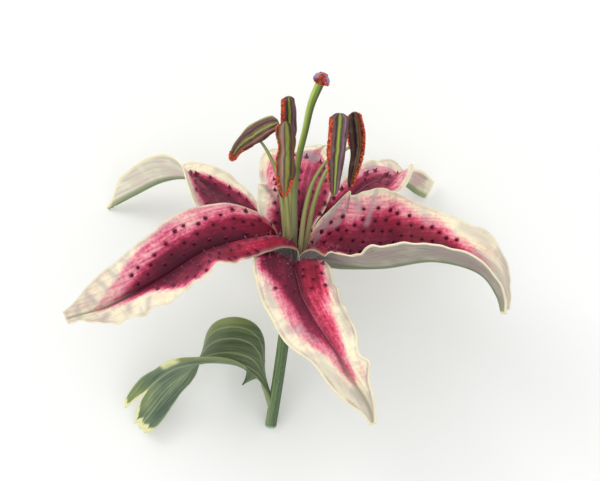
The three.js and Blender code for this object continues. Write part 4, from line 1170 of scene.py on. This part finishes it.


# Stem rind: waxy green with fine lengthwise lines, pale and fibrous where it is cut. The band number is
# painted light and shade: lighter on one side of the stem and darker on the other.
def stemRind():
    rind = newMaterial("stem_rind")
    band = add(rind, "Attribute", output="Fac", attribute_name="band")
    cut = add(rind, "Attribute", output="Fac", attribute_name="cut")
    top = add(rind, "Attribute", output="Fac", attribute_name="top")
    place = add(rind, "TexCoord", output="Object")
    surface = add(rind, "UVMap")
    stretched = add(rind, "Mapping", {"Vector": surface, "Scale": (2.4, 0.05, 1)})
    streaks = add(rind, "TexNoise", {"Vector": stretched, "Scale": 1, "Detail": 4, "Roughness": 0.65})
    streak = add(rind, "MapRange", {0: streaks, 1: 0.3, 2: 0.7, 3: -0.28, 4: 0.28})
    tone = add(rind, "Math", {0: band, 1: streak}, operation="ADD", use_clamp=True)
    base = add(rind, "ValToRGB", {0: tone}, stops=[
        (0, "#35482f"), (0.35, "#4c6440"), (0.65, "#667f52"), (1, "#8a9f6d")])
    # Cells are drawn 0.7 mm across, coarser than real so that they show
    grains = add(rind, "TexNoise", {"Vector": place, "Scale": 1500, "Detail": 2})
    speck = add(rind, "MapRange", {0: grains, 1: 0.55, 2: 0.75, 3: 0, 4: 0.35})
    base = add(rind, "Mix", {0: speck, 6: base, 7: colour("#9fb07f")}, 2, data_type="RGBA")
    base = add(rind, "Mix", {0: top, 6: base, 7: colour("#a9ad84")}, 2, data_type="RGBA")
    base = add(rind, "Mix", {0: cut, 6: base, 7: colour("#b9cbbd")}, 2, data_type="RGBA")
    relief = add(rind, "Bump", {"Height": streaks, "Strength": 0.6, "Distance": 0.0004})
    gloss = add(rind, "MapRange", {0: streaks, 1: 0.3, 2: 0.7, 3: 0.38, 4: 0.52})
    shader = add(rind, "BsdfPrincipled", {
        "Base Color": base, "Roughness": gloss, "Normal": relief, "IOR": 1.45})
    add(rind, "OutputMaterial", {0: shader})
    return rind


def buildStem():
    chosen = random.Random(19)
    fibres = [chosen.uniform(0, stem["fibreShare"]) for unused in range(stem["fibres"])]

    def section(angle, t):
        height = onLine(stem["line"], t)[0][:, 2]
        heights, radii = zip(*stem["receptacle"])
        radius = np.interp(height, heights, radii)
        radius = radius * (1 + stem["ridge"] * np.cos(stem["ridges"] * angle) * smooth(-5, -12, height))
        return radius * np.sin(angle), radius * np.cos(angle)

    piece, angle, t = tubePiece("stem_rind", stem["line"], stem["sides"], stem["rings"], section)
    centre, unused, length = onLine(stem["line"], t)
    # Painted light and shade round the stem, and a little lighter along its ridges
    numbers("band", piece, 0.5 - 0.42 * np.sin(angle) + 0.1 * np.cos(stem["ridges"] * angle))
    fibre = np.interp((angle / math.pi + 1) / 2, np.linspace(0, 1, len(fibres)), fibres)
    numbers("cut", piece, smooth(stem["fibreShare"] + fibre, 0.004, t))
    numbers("top", piece, smooth(-3.5, -0.5, centre[:, 2]))
    mapInMillimetres(piece, angle * stem["radius"], t * length)
    sealed(piece)
    piece.data.materials.append(stemRind())
    finishPiece(piece, "stem", "stem")


buildStem()
print("stem built")


# Leaf: spine runs right, back and up from the surface under the bloom's base. It arches over, turns
# half round about its spine and hangs with its underside showing, torn off at the end. The lists and
# the two sides read as a tepal's do. tornEnd gives s and the last t there, which the teeth shift. above
# and below are the s of each face's pale veins, and spur hangs from the lower edge from t to t.
leaf = {
    "spine": [(-7.4, -40.6, 6.8), (-9.8, -32.8, 12.5), (-12, -28, 18), (-15.2, -24.8, 22),
              (-21.5, -22.8, 25), (-30.3, -23, 26), (-37.9, -25, 24.5), (-44.8, -28.6, 21),
              (-53.4, -35.6, 12), (-63.8, -47.8, 4.6)],
    "width": [1.3, 2, 6.5, 15, 17, 14, 10.5, 8.2, 8, 8.4, 8.2],
    "roll": [-10, -10, -10, 18, 78, 125, 150, 165],
    "minus": {
        "scale": [1, 0.88, 0.7, 0.46, 0.42, 0.44, 0.78, 0.94, 1.17, 1.08, 1],
        "fold": [0, 0],
        "curl": [0, -60, -150, -70, 0, 0],
        "ruffle": (0.6, 2.5, 0), "frill": (0, 1, 0),
    },
    "plus": {
        "scale": [1, 1, 1, 1.06, 1.02, 1.04, 0.9, 0.86, 0.98, 1, 0.9],
        "fold": [0, 5, 5, 0, 0, 0],
        "curl": [0, 10, 10, 0, 0, 0],
        "ruffle": (0.5, 2, 0), "frill": (0, 1, 0),
    },
    "form": {"rib": 0.3, "ribWidth": 1.2, "veinSpacing": 1.1, "veinDepth": 0.04, "bead": 0,
             "beadWidth": 1},
    "tornEnd": [(-1, 0.93), (-0.8, 0.97), (-0.6, 0.91), (-0.44, 0.85), (-0.3, 0.93), (0, 0.99),
                (0.22, 0.97), (0.45, 1), (0.62, 0.98), (0.8, 0.99), (1, 0.97)],
    "above": [-0.3, 0.13, 0.47, 0.75], "below": [-0.45, 0.33],
    "teeth": (-0.012, 0.004), "toothCount": 60,
    "spur": {"from": 0.25, "to": 0.33, "tip": (-3.9, -4.4, -1.2), "thickness": 0.6},
    "thickness": 1, "rimThickness": 0.6, "stalkThickness": 2.6,
    "sides": 220, "rings": 190,
}


# Point of the leaf's closed skin, at an angle round its section, with what its finish needs there
def leafPlace(angle, t):
    s = 2 / math.pi * np.arcsin(np.clip(np.sin(angle), -1, 1))
    chosen = random.Random(5)
    teeth = [chosen.uniform(*leaf["teeth"]) for unused in range(leaf["toothCount"])]
    columns, ends = zip(*leaf["tornEnd"])
    end = np.interp(s, columns, ends) + np.interp(s, np.linspace(-1, 1, len(teeth)), teeth)
    run = t * end
    a = np.abs(s)
    points, inward, unused, width, length = bladeSurface(leaf, run, s)
    flat = leaf["thickness"] + (leaf["rimThickness"] - leaf["thickness"]) * np.minimum(a * 1.2, 1)
    thickness = leaf["stalkThickness"] + (flat - leaf["stalkThickness"]) * smooth(0.02, 0.24, run)
    closing = (t > 0.002) & (t < 0.998)
    thickness = thickness * (1 - a ** np.where(run < 0.2, 2.5, 8)) ** 0.5 * closing
    face = np.where(np.cos(angle) > 0, 1, -1)
    return points + inward * (face * thickness / 2)[:, None], s, run, width, length, (end - run) * length


# Leaf blade: dark waxy green above with pale parallel veins, blue-green below, pale where it is torn
def leafSkin():
    skin = newMaterial("leaf_blade")
    upper, vein, rim, torn, yellowAndSheen = (
        add(skin, "Attribute", output="Fac", attribute_name=name)
        for name in ("upper", "vein", "rim", "torn", "yellowAndSheen")
    )
    place = add(skin, "TexCoord", output="Object")
    surface = add(skin, "UVMap")
    stretched = add(skin, "Mapping", {"Vector": surface, "Scale": (1.1, 0.05, 1)})
    streaks = add(skin, "TexNoise", {"Vector": stretched, "Scale": 1, "Detail": 4, "Roughness": 0.65})
    broad = add(skin, "Mapping", {"Vector": surface, "Scale": (0.12, 0.05, 1)})
    clouds = add(skin, "TexNoise", {"Vector": broad, "Scale": 1, "Detail": 2})
    streak = add(skin, "MapRange", {0: streaks, 1: 0.3, 2: 0.7, 3: -0.25, 4: 0.25})
    tone = add(skin, "Math", {0: clouds, 1: streak}, operation="ADD", use_clamp=True)
    above = add(skin, "ValToRGB", {0: tone}, stops=[
        (0.15, "#38492f"), (0.45, "#546644"), (0.75, "#76865a"), (1, "#98a374")])
    below = add(skin, "ValToRGB", {0: tone}, stops=[
        (0.15, "#394c40"), (0.42, "#586c55"), (0.7, "#84956c"), (1, "#a8b387")])
    base = add(skin, "Mix", {0: upper, 6: below, 7: above}, 2, data_type="RGBA")
    # Yellower strips, with the painted sheen on the arch's crown
    base = add(skin, "Mix", {0: yellowAndSheen, 6: base, 7: colour("#8b9652")}, 2, data_type="RGBA")
    base = add(skin, "Mix", {0: vein, 6: base, 7: colour("#aab68c")}, 2, data_type="RGBA")
    edge = add(skin, "MapRange", {0: rim, 1: 0.15, 2: 0.6, 3: 0.4, 4: 0}, interpolation_type="SMOOTHSTEP")
    base = add(skin, "Mix", {0: edge, 6: base, 7: colour("#b9bd85")}, 2, data_type="RGBA")
    ragged = add(skin, "Math", {0: torn, 1: streak}, operation="ADD", use_clamp=True)
    dryEdgeAndTipShade = add(skin, "MapRange", {0: ragged, 1: 0.25, 2: 0.75, 3: 0, 4: 1}, interpolation_type="SMOOTHSTEP")
    base = add(skin, "Mix", {0: dryEdgeAndTipShade, 6: base, 7: colour("#e4e2a6")}, 2, data_type="RGBA")
    relief = add(skin, "Bump", {"Height": streaks, "Strength": 0.5, "Distance": 0.0004})
    # Cells are drawn 0.7 mm across here too
    grain = add(skin, "TexNoise", {"Vector": place, "Scale": 1400, "Detail": 2})
    relief = add(skin, "Bump", {"Height": grain, "Normal": relief, "Strength": 0.15, "Distance": 0.0002})
    gloss = add(skin, "MapRange", {0: streaks, 1: 0.3, 2: 0.7, 3: 0.36, 4: 0.5})
    shader = add(skin, "BsdfPrincipled", {
        "Base Color": base, "Roughness": gloss, "Normal": relief, "IOR": 1.45})
    add(skin, "OutputMaterial", {0: shader})
    return skin


def buildLeaf():
    ground = np.array([bloom["base"][0], bloom["base"][1], 0])

    def place(s, t):
        return leafPlace(math.pi * s, t)[0] + ground

    piece, s, t = gridPiece("leaf_blade", leaf["sides"], leaf["rings"], place)
    angle = math.pi * s
    unused, across, run, width, length, fromEnd = leafPlace(angle, t)
    # Distances to the nearest pale vein of each face
    above = np.min([np.abs(across - vein) * width for vein in leaf["above"]], axis=0)
    below = np.min([np.abs(across - vein) * width for vein in leaf["below"]], axis=0)
    veins = np.where(np.cos(angle) < 0, 0.6 * smooth(0.4, 0.08, above), 0.45 * smooth(0.4, 0.1, below))
    numbers("upper", piece, smooth(0.05, -0.05, np.cos(angle)))
    numbers("vein", piece, veins * smooth(0.1, 0.25, run) * (1 - np.abs(across) ** 6))
    numbers("rim", piece, (1 - np.abs(across)) * width)
    dryEdge = 0.7 * smooth(-0.4, -0.9, across) * smooth(0.54, 0.6, run) * smooth(0.7, 0.65, run)
    numbers("torn", piece, np.maximum(smooth(5, 0.5, fromEnd), dryEdge))
    # The blade is yellower along one edge and towards its tips, and a painted sheen lightens the crown of its
    # arch
    strip = 0.75 * smooth(-0.65, -0.95, across) * smooth(0.2, 0.5, run) * smooth(0.75, 0.6, run)
    crownSheen = 0.7 * smooth(0.6, 1, across) * smooth(0.28, 0.4, run) * smooth(0.75, 0.5, run)
    tips = 0.55 * smooth(0.5, -0.8, across) * smooth(0.72, 0.92, run)
    numbers("yellowAndSheen", piece, np.max([strip, crownSheen, tips], axis=0))
    mapInMillimetres(piece, across * width, run * length)
    sealed(piece)
    blade = leafSkin()
    piece.data.materials.append(blade)
    finishPiece(piece, "leaf", "leaf")

    # The torn spur near its stalk is a small blade of its own
    spur = leaf["spur"]

    def spurPlace(s, t):
        where = spur["from"] + (spur["to"] - spur["from"]) * (1 + s * (1 - t) ** 1.7) / 2
        edge = leafPlace(np.full_like(t, -0.49 * math.pi), where)[0] + ground
        drop = np.array(spur["tip"])
        return edge + t[:, None] * drop + 0.8 * (np.sin(math.pi * t) * s**2)[:, None] * np.array([0, 0, -1.0])

    piece, s, t = gridPiece("leaf_spur", 12, 16, spurPlace)
    for name, value in (("upper", 1), ("vein", 0), ("rim", 3), ("torn", 0), ("yellowAndSheen", 0)):
        numbers(name, piece, np.full_like(t, value))
    mapInMillimetres(piece, s * 2, t * 6)
    piece.data.materials.append(blade)
    modify(piece, "SOLIDIFY", thickness=spur["thickness"] * mm, offset=0)
    shadeSmooth(piece)
    finishPiece(piece, "leaf")


buildLeaf()
print("leaf built")


# The camera looks down on the flower from 82 degrees above the surface, 1.4 m away
def placeCamera():
    back = Vector(backward)
    upward = Vector((0, math.sin(rise), math.cos(rise)))
    right = Vector((1, 0, 0))
    target = Vector(bloom["base"]) * mm
    target += right * (frameSize[0] / 2 - camera["base"][0]) * camera["mmPerPixel"] * mm
    target += upward * (camera["base"][1] - frameSize[1] / 2) * camera["mmPerPixel"] * mm
    made = bpy.data.objects.new("camera", bpy.data.cameras.new("camera"))
    made.data.lens = camera["lens"]
    made.data.sensor_width = 36
    made.data.clip_end = 20
    made.location = target + back * camera["distance"]
    made.rotation_euler = Matrix((right, upward, back)).transposed().to_euler()
    bpy.context.collection.objects.link(made)
    bpy.context.scene.camera = made


# Sizes and places in metres, lamp powers in watts
studio = {
    "floorSize": 6, "floorColour": "#f4f5f3", "world": 0.94,
    "key": 19, "keySize": 1.2, "keyPlace": (-1.3, 1.2, 1.9),
    "fill": 5, "fillSize": 2.5, "fillPlace": (1.8, -1.2, 1.6),
}


def areaLight(name, place, size, power):
    lamp = bpy.data.lights.new(name, "AREA")
    lamp.energy = power
    lamp.size = size
    made = bpy.data.objects.new(name, lamp)
    made.location = place
    made.rotation_euler = (-Vector(place)).to_track_quat("-Z", "Y").to_euler()
    bpy.context.collection.objects.link(made)


def placeStudio():
    deselect()
    bpy.ops.mesh.primitive_plane_add(size=studio["floorSize"], location=(0, 0, -0.0001))
    floor = bpy.context.object
    floor.name = "floor"
    # Matt white painted board, which shows soft shadows and no gloss
    paint = newMaterial("matt_white_board")
    shader = add(paint, "BsdfPrincipled", {"Base Color": colour(studio["floorColour"]), "Roughness": 0.8})
    add(paint, "OutputMaterial", {0: shader})
    floor.data.materials.append(paint)
    areaLight("key_light", studio["keyPlace"], studio["keySize"], studio["key"])
    areaLight("fill_light", studio["fillPlace"], studio["fillSize"], studio["fill"])
    world = bpy.data.worlds.new("studio")
    bpy.context.scene.world = world
    world.use_nodes = True
    world.node_tree.nodes["Background"].inputs["Color"].default_value = (1, 1, 1, 1)
    world.node_tree.nodes["Background"].inputs["Strength"].default_value = studio["world"]
    bpy.context.scene.view_settings.view_transform = "Standard"


placeCamera()
placeStudio()
print("camera and studio placed")
